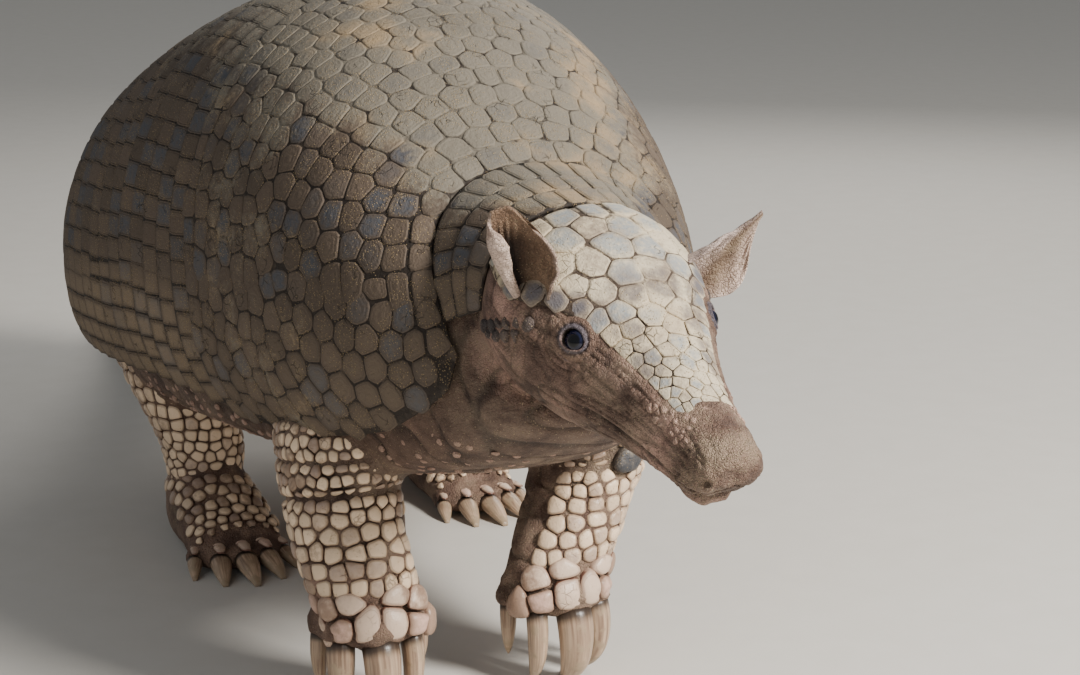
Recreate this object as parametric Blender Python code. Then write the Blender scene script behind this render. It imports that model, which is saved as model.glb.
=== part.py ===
"""A giant armadillo (Priodontes maximus) standing on the floor, life size, as a still model.

Metres, +Z up. The animal faces -Y, its left side is +X, and the floor is z = 0. Every sub-part is built in
working coordinates whose y = 0 lies over the middle of the back, and one empty then sets the middle of the
whole model's outline over the origin.

The trunk is a run of rings along the back. Shield plates follow the same rings a little further out, and the
flesh lies under them, so plates and flesh never touch.
"""
import math

import bmesh
import bpy
import numpy as np
from mathutils import Matrix, Vector

# ---- sizes ------------------------------------------------------------------------------------------------
MIDDLE_Y = 0.1502       # half way from nose to tail tip, in working coordinates
GAP = 0.0006            # between two pieces that meet
PLATE = 0.0060          # thickness of the shoulder and hip shields
PLATE_STEP = 0.0028     # a band's front edge lies this much lower than its rear edge
UNDER_PLATE = 0.0030    # from the inside of a plate to the flesh
FLANK_INSET = 0.0015    # bare flesh lies this far inside the carapace's own surface
HEAD_PLATE = 0.0030
UNDER_HEAD_PLATE = 0.0018
TRUNK_SIDES = 24
BAND_COUNT = 12
NECK_BANDS = 3
FLAT = 0.0008           # depth of the small flats that stand on the floor
UP = np.array((0.0, 0.0, 1.0))

# The trunk's rings, one row each, from neck to tail:
# centre x, centre y, centre z, tilt in degrees, half width, height above centre, depth below centre
TRUNK_RINGS = np.array([
    (-0.022, -0.375, 0.287, 34, 0.070, 0.066, 0.080),
    (-0.022, -0.350, 0.287, 30, 0.095, 0.090, 0.104),
    (-0.022, -0.300, 0.284, 22, 0.124, 0.124, 0.126),
    (-0.018, -0.220, 0.275, 12, 0.151, 0.160, 0.142),
    (-0.010, -0.100, 0.259, 5, 0.178, 0.190, 0.146),
    (-0.002, 0.030, 0.235, 2, 0.197, 0.200, 0.136),
    (0.000, 0.160, 0.214, 0, 0.198, 0.186, 0.122),
    (0.000, 0.270, 0.198, 2, 0.175, 0.159, 0.105),
    (0.000, 0.350, 0.186, 10, 0.128, 0.118, 0.083),
    (0.000, 0.395, 0.174, 22, 0.070, 0.066, 0.058),
])
UPPER_POWER, LOWER_POWER = 2.15, 2.7    # superellipse powers above and below a ring's centre
NECK_END, SHIELD_START = 0.50, 0.56     # places along the rings, in ring numbers
RINGS_PER_METRE = 40                    # how close together the rings of the neck end lie
SHOULDER_END, BANDS_END, HIP_END = 3.75, 6.10, 8.70

# Angle from the crest down to the carapace's lower edge, in degrees, against the place along the rings
EDGE_PLACES = (0.5, 1.0, 2.0, 3.0, 3.6, 4.0, 4.6, 6.0, 7.0, 8.0, 8.7)
EDGE_ANGLES = (110, 124, 133, 132, 128, 122, 118, 118, 120, 114, 98)

# The head's rings: distance from the nape, half width, height above and depth below the axis
HEAD_LENGTH = 0.197
HEAD_RINGS = np.array([
    (0.000, 0.053, 0.042, 0.044),
    (0.030, 0.061, 0.050, 0.049),
    (0.060, 0.060, 0.048, 0.049),
    (0.090, 0.049, 0.041, 0.045),
    (0.120, 0.0350, 0.033, 0.036),
    (0.150, 0.0260, 0.026, 0.028),
    (0.175, 0.0218, 0.0225, 0.0232),
    (0.190, 0.0200, 0.0210, 0.0212),
    (HEAD_LENGTH, 0.0150, 0.0160, 0.0160),
])
HEAD_START, THROAT = 0.012, 0.035       # the head starts here at the nape, and this much further on below
NECK_GAP = 0.0035
HEAD_SIDES = 20
NAPE = Vector((-0.033, -0.388, 0.302))
HEAD_YAW, HEAD_PITCH, HEAD_ROLL = 4.5, 25.5, -2.0
HEAD_SHIELD_SPAN = (0.016, 0.158)
HEAD_SHIELD_EDGE = ((0.0, 0.045, 0.07, 0.09, 0.12, 0.16), (74, 74, 57, 48, 47, 42))   # distance, angle in degrees

EYE_PLACE, EYE_ANGLE, EYE_RADIUS, EYE_SUNK = 0.090, 62, 0.0078, 0.0052
EAR_WALL = 0.0022
EAR_GAP = 0.0014        # from the ear's root to the head, which clears the head shield's rim too
EARS = {        # directions are outward, forward and up; widths are along the ear, on its inner and its outer half
    "left": {"place": 0.050, "angle": 66, "length": 0.0455, "bend": 0.014, "axis": (0.83, 0.12, 0.39),
             "opening": (0.45, 0.90), "roll": (0.0245, 0.0260), "back": 0.75, "drop": (0.05, 0.0),
             "widths": ((0.0, 0.0240, 0.0260), (0.25, 0.0285, 0.0240), (0.50, 0.0310, 0.0150),
                        (0.70, 0.0270, 0.0080), (0.86, 0.0155, 0.0050), (1.0, 0.0040, 0.0030))},
    "right": {"place": 0.050, "angle": 68, "length": 0.0640, "bend": 0.0, "axis": (0.36, 0.05, 0.93),
              "opening": (0.35, 0.94), "roll": (0.0120, 0.0200), "back": 0.60, "drop": (0.0, 0.27),
              "widths": ((0.0, 0.0050, 0.0140), (0.20, 0.0090, 0.0270), (0.45, 0.0130, 0.0330),
                         (0.70, 0.0160, 0.0310), (0.88, 0.0130, 0.0250), (1.0, 0.0060, 0.0080))},
}

TAIL_STATIONS = np.array([          # y, z, half width, half height
    (0.3962, 0.1745, 0.0620, 0.0545),
    (0.440, 0.140, 0.0510, 0.0460),
    (0.500, 0.104, 0.0410, 0.0380),
    (0.570, 0.072, 0.0330, 0.0320),
    (0.650, 0.045, 0.0255, 0.0245),
    (0.730, 0.0255, 0.0185, 0.0180),
    (0.810, 0.0122, 0.0118, 0.0120),
    (0.872, 0.0055, 0.0050, 0.0060),
])
TAIL_SPLIT = 3.5
TAIL_SIDES = 12

# Legs: centre x, y, z, half width and half depth of each ring, top down. x is for the animal's right side.
FRONT_LEG = np.array([
    (0.072, 0.036, 0.240, 0.034, 0.050),
    (0.088, 0.026, 0.205, 0.038, 0.054),
    (0.100, 0.015, 0.170, 0.040, 0.052),
    (0.106, 0.004, 0.138, 0.039, 0.046),
    (0.109, -0.006, 0.112, 0.037, 0.038),
    (0.108, -0.015, 0.092, 0.037, 0.033),
    (0.105, -0.021, 0.072, 0.035, 0.027),
    (0.102, -0.024, 0.058, 0.029, 0.021),
])
WRIST = 4               # the ring where the front foot starts
HIND_LEG = np.array([
    (0.090, 0.120, 0.215, 0.060, 0.080),
    (0.116, 0.095, 0.175, 0.054, 0.066),
    (0.120, 0.068, 0.130, 0.043, 0.047),
    (0.113, 0.056, 0.092, 0.035, 0.036),
    (0.108, 0.052, 0.066, 0.032, 0.033),
    (0.108, 0.050, 0.040, 0.028, 0.030),
])
SOLE_POWER = 0.35       # how flat the hind foot's underside is, 1 being round
HIND_FOOT = np.array([              # heel to toes: y, z of the centre, half width, height above the centre
    (0.088, 0.020, 0.014, 0.016),
    (0.076, 0.027, 0.026, 0.028),
    (0.050, 0.031, 0.033, 0.032),
    (0.015, 0.027, 0.036, 0.028),
    (-0.018, 0.020, 0.037, 0.021),
    (-0.040, 0.015, 0.034, 0.016),
])
# y of each foot's own zero, and how far its leg leans out or in at the floor
FRONT_FOOT_Y = {"left": -0.250, "right": -0.252}
HIND_FOOT_Y = {"left": 0.105, "right": 0.055}
FRONT_FOOT_SHIFT = {"left": (-0.086, 0.0), "right": (0.006, 0.0)}
FRONT_ROOT = {"left": (-0.026, 0.0), "right": (0.012, 0.016)}

# Front digits, thumb to little finger, for the right foot: offset across, offset along, half width, length,
# then the claw's half width, half depth, share of the floor reach, start lean, end lean and heading in degrees
FRONT_DIGITS = (
    (0.028, 0.008, 0.0090, 0.012, 0.0055, 0.0055, 0.74, 20, 40, 24),
    (0.017, -0.009, 0.0110, 0.014, 0.0070, 0.0080, 1.00, 24, 62, 10),
    (-0.005, -0.014, 0.0155, 0.016, 0.0118, 0.0112, 1.00, 30, 80, 0),
    (-0.025, -0.004, 0.0125, 0.014, 0.0090, 0.0088, 1.00, 22, 56, -18),
    (-0.032, 0.012, 0.0090, 0.012, 0.0058, 0.0056, 0.80, 16, 30, -36),
)
HIND_DIGITS = (     # across, along, half width, nail half width, nail half depth, nail length
    (0.029, -0.036, 0.0085, 0.0058, 0.0050, 0.018),
    (0.0145, -0.046, 0.0100, 0.0078, 0.0062, 0.026),
    (-0.002, -0.050, 0.0105, 0.0085, 0.0066, 0.029),
    (-0.0185, -0.045, 0.0100, 0.0078, 0.0062, 0.025),
    (-0.033, -0.032, 0.0085, 0.0056, 0.0048, 0.017),
)
LEG_SIDES = 12
DIGIT_SIDES = 7
CLAW_SIDES, CLAW_STEPS, NAIL_STEPS = 7, 5, 4
TOE_SPREAD = 500        # degrees of a hind toe's heading for each metre it lies off the foot's middle

FINISHES = {        # colour, roughness
    "shell": ((0.30, 0.25, 0.19), 0.75),
    "head_scute": ((0.50, 0.44, 0.33), 0.80),
    "skin": ((0.26, 0.17, 0.12), 0.70),
    "belly_skin": ((0.30, 0.20, 0.15), 0.70),
    "leg_scale": ((0.48, 0.37, 0.27), 0.60),
    "tail_scale": ((0.27, 0.22, 0.17), 0.70),
    "claw_horn": ((0.42, 0.34, 0.24), 0.45),
    "eye": ((0.012, 0.010, 0.014), 0.08),
}


# ---- helpers ----------------------------------------------------------------------------------------------
def curve_through(rows):
    """A smooth function through the rows, one row at each whole number: cubic pieces with matching slopes."""
    rows = np.asarray(rows, float)
    slopes = np.gradient(rows, axis=0)

    def at(place):
        place = np.clip(np.asarray(place, float), 0, len(rows) - 1)
        low = np.minimum(place.astype(int), len(rows) - 2)
        part = (place - low)[..., None]
        square, cube = part ** 2, part ** 3
        return ((2 * cube - 3 * square + 1) * rows[low] + (cube - 2 * square + part) * slopes[low]
                + (3 * square - 2 * cube) * rows[low + 1] + (cube - square) * slopes[low + 1])
    return at


def smooth(low, high, value):
    """0 below low, 1 above high, and a smooth rise between."""
    share = np.clip((value - low) / (high - low), 0, 1)
    return share * share * (3 - 2 * share)


def superellipse(angle, half_width, up, down):
    """(across, upward) of a ring's outline, angle 0 at the crest."""
    power = np.where(np.cos(angle) >= 0, UPPER_POWER, LOWER_POWER)
    reach = np.where(np.cos(angle) >= 0, up, down)
    across = half_width * np.sign(np.sin(angle)) * np.abs(np.sin(angle)) ** (2 / power)
    upward = reach * np.sign(np.cos(angle)) * np.abs(np.cos(angle)) ** (2 / power)
    return across, upward


def around(count):
    """Angles round a ring, without the repeated last one."""
    return np.linspace(-math.pi, math.pi, count, endpoint=False)


def halves(a, b, c, d):
    """A four-cornered face as two triangles, so that a piece and its grown cutter always fold alike."""
    return [(a, b, c), (a, c, d)]


def mesh_object(name, points, faces, finish):
    """A mesh object with outward faces and its material, parented to the model's empty."""
    mesh = bpy.data.meshes.new(name)
    mesh.from_pydata([tuple(p) for p in points], [], faces)
    shape = bmesh.new()
    shape.from_mesh(mesh)
    bmesh.ops.recalc_face_normals(shape, faces=shape.faces)
    shape.to_mesh(mesh)
    shape.free()
    mesh.shade_smooth()
    mesh.set_sharp_from_angle(angle=math.radians(40))
    item = bpy.data.objects.new(name, mesh)
    bpy.context.scene.collection.objects.link(item)
    if finish:
        mesh.materials.append(MATERIALS[finish])
        item.parent = MODEL
    else:
        item.hide_render = True
        item.display_type = "WIRE"
    return item


def tube(name, rings, finish):
    """A closed skin over rings (count, sides, 3), with a fan over each end."""
    count, sides = rings.shape[:2]
    points = np.vstack([rings.reshape(-1, 3), rings[0].mean(0), rings[-1].mean(0)])
    faces = []
    for i in range(count - 1):
        for j in range(sides):
            k = (j + 1) % sides
            faces += halves(i * sides + j, i * sides + k, (i + 1) * sides + k, (i + 1) * sides + j)
    first, last = count * sides, count * sides + 1
    for j in range(sides):
        k = (j + 1) % sides
        faces.append((k, j, first))
        faces.append(((count - 1) * sides + j, (count - 1) * sides + k, last))
    return mesh_object(name, points, faces, finish)


def plate(name, outer, inner, finish):
    """A closed plate between two grids (rows, columns, 3) of the same size."""
    rows, columns = outer.shape[:2]
    points = np.vstack([outer.reshape(-1, 3), inner.reshape(-1, 3)])
    faces = []

    def at(side, i, j):
        return side * rows * columns + i * columns + j
    for i in range(rows - 1):
        for j in range(columns - 1):
            for side in (0, 1):
                faces += halves(at(side, i, j), at(side, i, j + 1), at(side, i + 1, j + 1), at(side, i + 1, j))
    rim = ([(i, 0) for i in range(rows)] + [(rows - 1, j) for j in range(1, columns)]
           + [(i, columns - 1) for i in range(rows - 2, -1, -1)] + [(0, j) for j in range(columns - 2, 0, -1)])
    for a, b in zip(rim, rim[1:] + rim[:1]):
        faces += halves(at(0, *a), at(0, *b), at(1, *b), at(1, *a))
    return mesh_object(name, points, faces, finish)


def apply_boolean(target, other, operation):
    """Changes target by other and removes other."""
    modifier = target.modifiers.new(operation.title(), "BOOLEAN")
    modifier.operation = operation
    modifier.object = other
    modifier.solver = "EXACT"
    graph = bpy.context.evaluated_depsgraph_get()
    made = bpy.data.meshes.new_from_object(target.evaluated_get(graph))
    target.modifiers.clear()
    target.data = made
    bpy.data.objects.remove(other)


def keep_largest(item):
    """Keeps the largest loose part of a piece, by its number of corners."""
    shape = bmesh.new()
    shape.from_mesh(item.data)
    loose, groups = set(shape.verts), []
    while loose:
        group, front = set(), {loose.pop()}
        while front:
            group |= front
            front = {e.other_vert(v) for v in front for e in v.link_edges} - group
        loose -= group
        groups.append(group)
    groups.sort(key=len)
    bmesh.ops.delete(shape, geom=[v for group in groups[:-1] for v in group], context="VERTS")
    shape.to_mesh(item.data)
    shape.free()


def set_on_floor(item):
    """Cuts the piece off at the floor, which leaves a small flat there. Its points are in working coordinates."""
    shape = bmesh.new()
    shape.from_mesh(item.data)
    every = list(shape.verts) + list(shape.edges) + list(shape.faces)
    cut = bmesh.ops.bisect_plane(shape, geom=every, plane_co=(0, 0, 0), plane_no=(0, 0, -1), clear_outer=True)
    edges = [e for e in cut["geom_cut"] if isinstance(e, bmesh.types.BMEdge)]
    bmesh.ops.holes_fill(shape, edges=edges, sides=0)
    bmesh.ops.recalc_face_normals(shape, faces=shape.faces)
    shape.to_mesh(item.data)
    shape.free()


# ---- trunk and carapace -----------------------------------------------------------------------------------
TRUNK_AT = curve_through(TRUNK_RINGS)


def edge_angle(place):
    return np.radians(np.interp(place, EDGE_PLACES, EDGE_ANGLES))


def trunk_points(place, angle, inset):
    """Points of the carapace's own surface at places along the rings, moved inwards by inset."""
    x, y, z, tilt, half, up, down = np.moveaxis(TRUNK_AT(place), -1, 0)
    across, upward = superellipse(angle, half - inset, up - inset, down - inset)
    tilt = np.radians(tilt)
    return np.stack([x + across, y + upward * np.sin(tilt), z + upward * np.cos(tilt)], axis=-1)


def flesh_inset(place, angle):
    """How far the flesh lies inside the carapace's surface: deep under the plates, shallow below their edge."""
    below = smooth(0.12, 0.32, np.abs(angle) - edge_angle(place))
    return (PLATE + UNDER_PLATE) * (1 - below) + FLANK_INSET * below


def trunk_rings(grow=0.0):
    places = np.concatenate([(NECK_END - grow * RINGS_PER_METRE, 1, 1.5, 2, 2.5, 3),
                             np.linspace(SHOULDER_END, BANDS_END, 4), (7, 7.5, 8, 8.5, 9)])
    place, angle = np.meshgrid(places, around(TRUNK_SIDES), indexing="ij")
    return trunk_points(place, angle, flesh_inset(place, angle) - grow)


def carapace_plate(name, places, sides, front_drop, grow=0.0, finish="shell"):
    """A curved plate over places. Its outside starts front_drop lower and reaches full height at the rear."""
    place, share = np.meshgrid(places, np.linspace(-1, 1, sides), indexing="ij")
    margin = 3 * grow / (math.pi * 0.15)
    angle = share * (edge_angle(place) + margin)
    rise = (place - places[0]) / (places[-1] - places[0])
    outer = trunk_points(place, angle, front_drop * (1 - rise) - grow)
    inner = trunk_points(place, angle, np.full_like(place, PLATE + grow))
    return plate(name, outer, inner, finish)


def shoulder_shield(name, grow=0.0, finish="shell"):
    ends = (SHIELD_START - 8 * grow, SHOULDER_END - 0.012 + 8 * grow)
    return carapace_plate(name, np.linspace(*ends, 8), 17, 0.001, grow, finish)


def make_carapace():
    shoulder_shield("shoulder_shield")
    limits = np.linspace(SHOULDER_END, BANDS_END, BAND_COUNT + 1)
    for number in range(BAND_COUNT):
        span = (limits[number] + 0.012, limits[number + 1] - 0.012)
        carapace_plate(f"back_band_{number + 1:02d}", np.array(span), 15, PLATE_STEP)
    carapace_plate("hip_shield", np.linspace(BANDS_END + 0.012, HIP_END, 6), 15, PLATE_STEP)


# ---- head and neck ----------------------------------------------------------------------------------------
def head_matrix():
    """Head axes in working coordinates: columns are left, forward and up."""
    turn = Matrix.Rotation(math.radians(HEAD_YAW), 3, "Z")
    nod = Matrix.Rotation(math.radians(HEAD_PITCH), 3, "X")
    lean = Matrix.Rotation(math.radians(HEAD_ROLL), 3, "Y")
    return np.array(turn @ nod @ lean)


HEAD_AT = curve_through(np.column_stack([HEAD_RINGS]))
HEAD_TURN = head_matrix()


def head_ring_place(distance):
    return np.interp(distance, HEAD_RINGS[:, 0], np.arange(len(HEAD_RINGS)))


def head_points(distance, angle, inset):
    """Points of the head's outer surface, distance from the nape along the head, moved inwards by inset."""
    _, half, up, down = np.moveaxis(HEAD_AT(head_ring_place(distance)), -1, 0)
    across, upward = superellipse(angle, half - inset, up - inset, down - inset)
    local = np.stack([across, -distance, upward], axis=-1)
    return local @ HEAD_TURN.T + np.array(NAPE)


def head_edge_angle(distance):
    return np.radians(np.interp(distance, *HEAD_SHIELD_EDGE))


def head_inset(distance, angle):
    under = 1 - smooth(0.22, 0.45, np.abs(angle) - head_edge_angle(distance))
    along = 1 - smooth(HEAD_SHIELD_SPAN[1] + 0.006, HEAD_SHIELD_SPAN[1] + 0.020, distance)
    return (HEAD_PLATE + UNDER_HEAD_PLATE) * under * along


def head_start(angle):
    """Where the head ends and the neck starts, further along the head below than at the nape."""
    return HEAD_START + THROAT * ((1 - np.cos(angle)) / 2) ** 2


def head_rings(grow=0.0, under_shield=1.0):
    """The head's rings; with under_shield 0 they take in the head shield too."""
    share = np.array([0, 0.12, 0.24, 0.36, 0.47, 0.57, 0.67, 0.77, 0.86, 0.925, 0.97, 1])
    share, angle = np.meshgrid(share, around(HEAD_SIDES), indexing="ij")
    start = head_start(angle)
    distance = start + (HEAD_LENGTH - start) * share
    return head_points(distance, angle, head_inset(distance, angle) * under_shield - grow)


def make_head_shield():
    distance, share = np.meshgrid(np.linspace(*HEAD_SHIELD_SPAN, 7), np.linspace(-1, 1, 11), indexing="ij")
    angle = share * head_edge_angle(distance)
    outer = head_points(distance, angle, np.zeros_like(distance))
    inner = head_points(distance, angle, np.full_like(distance, HEAD_PLATE))
    plate("head_shield", outer, inner, "head_scute")


def neck_surface(share, angle, outset):
    """Straight lines from the head's first ring (share 0) to the trunk's first ring (share 1)."""
    near = head_points(head_start(angle) - NECK_GAP, angle, HEAD_PLATE + UNDER_HEAD_PLATE - outset)
    far = trunk_points(np.full_like(share, NECK_END), angle, PLATE + UNDER_PLATE - outset)
    return near + (far - near) * share[..., None]


def make_neck():
    share, angle = np.meshgrid((0.04, 0.35, 0.65, 0.96), around(HEAD_SIDES), indexing="ij")
    tube("neck", neck_surface(share, angle, -0.001), "skin")
    reach = math.radians(98)
    limits = np.linspace(0.06, 0.94, NECK_BANDS + 1)
    for number in range(NECK_BANDS):
        span = np.array((limits[number] + 0.02, limits[number + 1] - 0.02))
        share, angle = np.meshgrid(span, np.linspace(-reach, reach, 9), indexing="ij")
        rise = (share - span[0]) / (span[1] - span[0])
        outer = neck_surface(share, angle, 0.0046 + 0.0016 * rise)
        inner = neck_surface(share, angle, np.full_like(share, 0.0016))
        plate(f"neck_band_{number + 1}", outer, inner, "shell")


def eye_centre(side):
    angle = math.radians(EYE_ANGLE) * side
    return head_points(np.array(EYE_PLACE), np.array(angle), EYE_SUNK)


def ball(name, centre, radius, finish, rows=6, sides=9):
    tilt, turn = np.meshgrid(np.linspace(0.16, math.pi - 0.16, rows), around(sides), indexing="ij")
    offsets = np.stack([np.sin(tilt) * np.cos(turn), np.sin(tilt) * np.sin(turn), np.cos(tilt)], axis=-1)
    return tube(name, centre + radius * offsets, finish)


def ear_grid(label, side, wall):
    """The ear as a leaf rolled into a funnel: rows from root to tip, columns across, at one side of its wall."""
    ear = EARS[label]
    along, inner, outer = (column[:, None] for column in np.array(ear["widths"]).T)
    across = side * np.linspace(-1, 1, 7)[None, :]
    inward, outward = np.clip(across, 0, 1), np.clip(-across, 0, 1)
    left, back, up = HEAD_TURN.T
    axis = side * ear["axis"][0] * left - ear["axis"][1] * back + ear["axis"][2] * up
    axis /= np.linalg.norm(axis)
    opening = side * ear["opening"][0] * left - ear["opening"][1] * back
    opening -= axis * (opening @ axis)
    opening /= np.linalg.norm(opening)
    flank = np.cross(axis, opening)
    roll = ear["roll"][0] + (ear["roll"][1] - ear["roll"][0]) * smooth(0.0, 0.7, along)
    turn = side * (inward * inner - outward * outer) / roll
    drop = ear["drop"][0] * smooth(0.0, 1.0, inward) + ear["drop"][1] * smooth(0.0, 1.0, outward)
    high = ear["length"] * (along - smooth(0.25, 1.0, along) * drop)
    root = head_points(np.array(ear["place"]), np.array(math.radians(ear["angle"]) * side), 0.006)
    radius = (roll + wall)[..., None]
    return (root + axis * high[..., None] + up * (ear["bend"] * along ** 3)[..., None]
            - opening * radius * np.cos(turn)[..., None] + flank * radius * np.sin(turn)[..., None]
            + opening * roll[..., None] * ear["back"])


def make_head():
    head = tube("head", head_rings(), "skin")
    for label, side in (("left", 1), ("right", -1)):
        apply_boolean(head, ball("cut", eye_centre(side), EYE_RADIUS + GAP, None), "DIFFERENCE")
        ball(f"eye_{label}", eye_centre(side), EYE_RADIUS, "eye")
        ear = plate(f"ear_{label}", ear_grid(label, side, EAR_WALL / 2), ear_grid(label, side, -EAR_WALL / 2), "skin")
        apply_boolean(ear, tube("cut", head_rings(EAR_GAP, 0.0), None), "DIFFERENCE")
    make_head_shield()


# ---- legs, feet and claws ---------------------------------------------------------------------------------
def limb_rings(rows, side, base_y, shift=(0.0, 0.0), root=(0.0, 0.0)):
    """Level rings of a leg. shift moves its low end and root its top, in x and y, for this foot's own step."""
    x, y, z, half, deep = rows.T
    low = 1 - smooth(0.06, 0.20, z)
    x = x + shift[0] * low + root[0] * (1 - low)
    y = y + base_y + shift[1] * low + root[1] * (1 - low)
    slope = np.gradient(y, z)
    angle = around(LEG_SIDES)
    across = side * x[:, None] + half[:, None] * np.sin(angle)
    along = y[:, None] + deep[:, None] * np.cos(angle)
    height = z[:, None] - 0.35 * slope[:, None] * deep[:, None] * np.cos(angle)
    return np.stack([across, along, height], axis=-1)


def digit_stub(root, width, length, heading, lean):
    """A short round finger from root, leaning forward by lean degrees from straight down, along its heading.

    Gives the finger, the middle of its flat end, and the finger's own directions: along, front and flank.
    """
    turn, tip = math.radians(heading), math.radians(lean)
    forward = np.array((math.sin(turn), -math.cos(turn), 0.0))
    down = forward * math.sin(tip) - np.array((0, 0, math.cos(tip)))
    flank = np.array((math.cos(turn), math.sin(turn), 0.0))
    front = np.cross(flank, down)
    steps = ((-0.9, 0.50), (0.0, 1.06), (1.0, 0.97))
    angle = around(DIGIT_SIDES)[:, None]
    rings = [root + down * length * place + width * size * (flank * np.cos(angle) + front * np.sin(angle))
             for place, size in steps]
    return tube("stub", np.array(rings), None), root + down * length, down, forward, flank


def claw_rings(root, forward, flank, half_width, half_depth, reach, start, end):
    """A claw's rings: an arc that starts leaning forward by start degrees and curls back to end degrees.

    Its first ring lies square to the finger, a gap below it. With reach 1 its lowest point is just under the
    floor, and with less it stops that share of the way down.
    """
    share = np.linspace(0, 1, CLAW_STEPS)
    lean = np.radians(start - (start + end) * share)
    step = forward * np.sin(lean)[:, None] - UP * np.cos(lean)[:, None]
    path = np.vstack([np.zeros(3), np.cumsum((step[1:] + step[:-1]) / 2, axis=0)])
    path *= reach * (root[2] - half_depth * 0.55) / -path[:, 2].min()
    size = 1 - 0.90 * share ** 2.2
    angle = around(CLAW_SIDES)
    rings = (root + GAP * step[0] + path[:, None, :]
             + flank * (half_width * size[:, None] * np.cos(angle))[..., None]
             + np.cross(flank, step)[:, None, :] * (half_depth * size[:, None] * np.sin(angle))[..., None])
    if reach == 1.0:
        rings[..., 2] -= (rings[..., 2].min() + FLAT) * np.minimum(1, 2 * share)[:, None]
    return rings


def make_front_limb(label, side):
    rings = limb_rings(FRONT_LEG, side, FRONT_FOOT_Y[label], FRONT_FOOT_SHIFT[label], FRONT_ROOT[label])
    leg = tube(f"front_leg_{label}", rings[:WRIST + 1], "leg_scale")
    apply_boolean(leg, tube("cut", trunk_rings(GAP), None), "DIFFERENCE")
    apply_boolean(leg, shoulder_shield("cut", GAP, None), "DIFFERENCE")
    keep_largest(leg)
    hand_rings = rings[WRIST:] - GAP * UP
    hand = tube(f"front_foot_{label}", hand_rings, "leg_scale")
    centre = hand_rings[-1].mean(0)
    for number, digit in enumerate(FRONT_DIGITS, start=1):
        across, along, width, length, claw_half, claw_deep, reach, start, end, heading = digit
        knuckle = centre + np.array((-side * across, along, 0.004))
        stub, tip, _, forward, flank = digit_stub(knuckle, width, length, -side * heading, start)
        apply_boolean(hand, stub, "UNION")
        claw = claw_rings(tip, forward, flank, claw_half, claw_deep, reach, start, end)
        item = tube(f"front_claw_{label}_{number}", claw, "claw_horn")
        if reach == 1.0:
            set_on_floor(item)


def make_hind_limb(label, side):
    base_y = HIND_FOOT_Y[label]
    leg = tube(f"hind_leg_{label}", limb_rings(HIND_LEG, side, base_y), "leg_scale")
    apply_boolean(leg, tube("cut", trunk_rings(GAP), None), "DIFFERENCE")
    y, z, half, high = HIND_FOOT.T
    angle = around(LEG_SIDES)
    centre_x = side * HIND_LEG[-1, 0]
    across = centre_x + half[:, None] * np.sin(angle)
    above = high[:, None] * np.cos(angle)
    below = -(z + FLAT)[:, None] * np.abs(np.cos(angle)) ** SOLE_POWER
    height = z[:, None] + np.where(np.cos(angle) >= 0, above, below)
    along = np.repeat((base_y + y)[:, None], LEG_SIDES, axis=1)
    rings = np.stack([across, along, height], axis=-1)
    foot = tube(f"hind_foot_{label}", rings, "leg_scale")
    for number, (offset, along, width, nail_half, nail_deep, length) in enumerate(HIND_DIGITS, start=1):
        root = np.array((centre_x - side * offset, base_y + along, width * 1.05))
        stub, tip, _, forward, flank = digit_stub(root, width, 0.012, -side * offset * TOE_SPREAD, 90)
        apply_boolean(foot, stub, "UNION")
        nail = nail_rings(tip, forward, flank, nail_half, nail_deep, length)
        set_on_floor(tube(f"hind_claw_{label}_{number}", nail, "claw_horn"))
    apply_boolean(leg, foot_copy(foot), "DIFFERENCE")
    set_on_floor(foot)


def nail_rings(root, forward, flank, half, deep, length):
    """A hoof-like nail: a blunt wedge that runs forward and down to the floor, a gap ahead of its toe."""
    share = np.linspace(0, 1, NAIL_STEPS)
    size = 1 - 0.72 * share ** 1.8
    centre = (root + forward * (GAP + length * share)[:, None]
              + UP * (share ** 0.7 * (deep * size - root[2] - FLAT))[:, None])
    angle = around(CLAW_SIDES)
    return (centre[:, None, :] + flank * (half * size[:, None] * np.cos(angle))[..., None]
            + UP * (deep * size[:, None] * np.sin(angle))[..., None])


def foot_copy(foot):
    """The foot's mesh grown by the gap, to cut the leg with."""
    copy = foot.copy()
    copy.data = foot.data.copy()
    bpy.context.scene.collection.objects.link(copy)
    copy.parent = None
    copy.hide_render = True
    shape = bmesh.new()
    shape.from_mesh(copy.data)
    for vertex in shape.verts:
        vertex.co += vertex.normal * GAP * 1.5
    shape.to_mesh(copy.data)
    shape.free()
    return copy


# ---- tail -------------------------------------------------------------------------------------------------
def make_tail():
    at = curve_through(TAIL_STATIONS)
    for name, first, last, steps in (("tail_base", 0, TAIL_SPLIT, 6), ("tail_tip", TAIL_SPLIT, 7, 7)):
        places = np.linspace(first, last, steps)
        rows = at(places)
        ahead, behind = at(places + 0.02), at(places - 0.02)
        slope = np.arctan2(ahead[:, 1] - behind[:, 1], ahead[:, 0] - behind[:, 0])
        if first == 0:
            blend = (places / 2).clip(0, 1)
            slope = slope * blend - math.radians(TRUNK_RINGS[-1, 3]) * (1 - blend)
        y, z, half, high = rows.T
        if first:
            y[0] += GAP
        else:
            y[-1] -= GAP
        angle = around(TAIL_SIDES)
        across = half[:, None] * np.sin(angle)
        upward = high[:, None] * np.cos(angle)
        rings = np.stack([across, y[:, None] - upward * np.sin(slope)[:, None],
                          z[:, None] + upward * np.cos(slope)[:, None]], axis=-1)
        set_on_floor(tube(name, rings, "tail_scale"))


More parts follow.
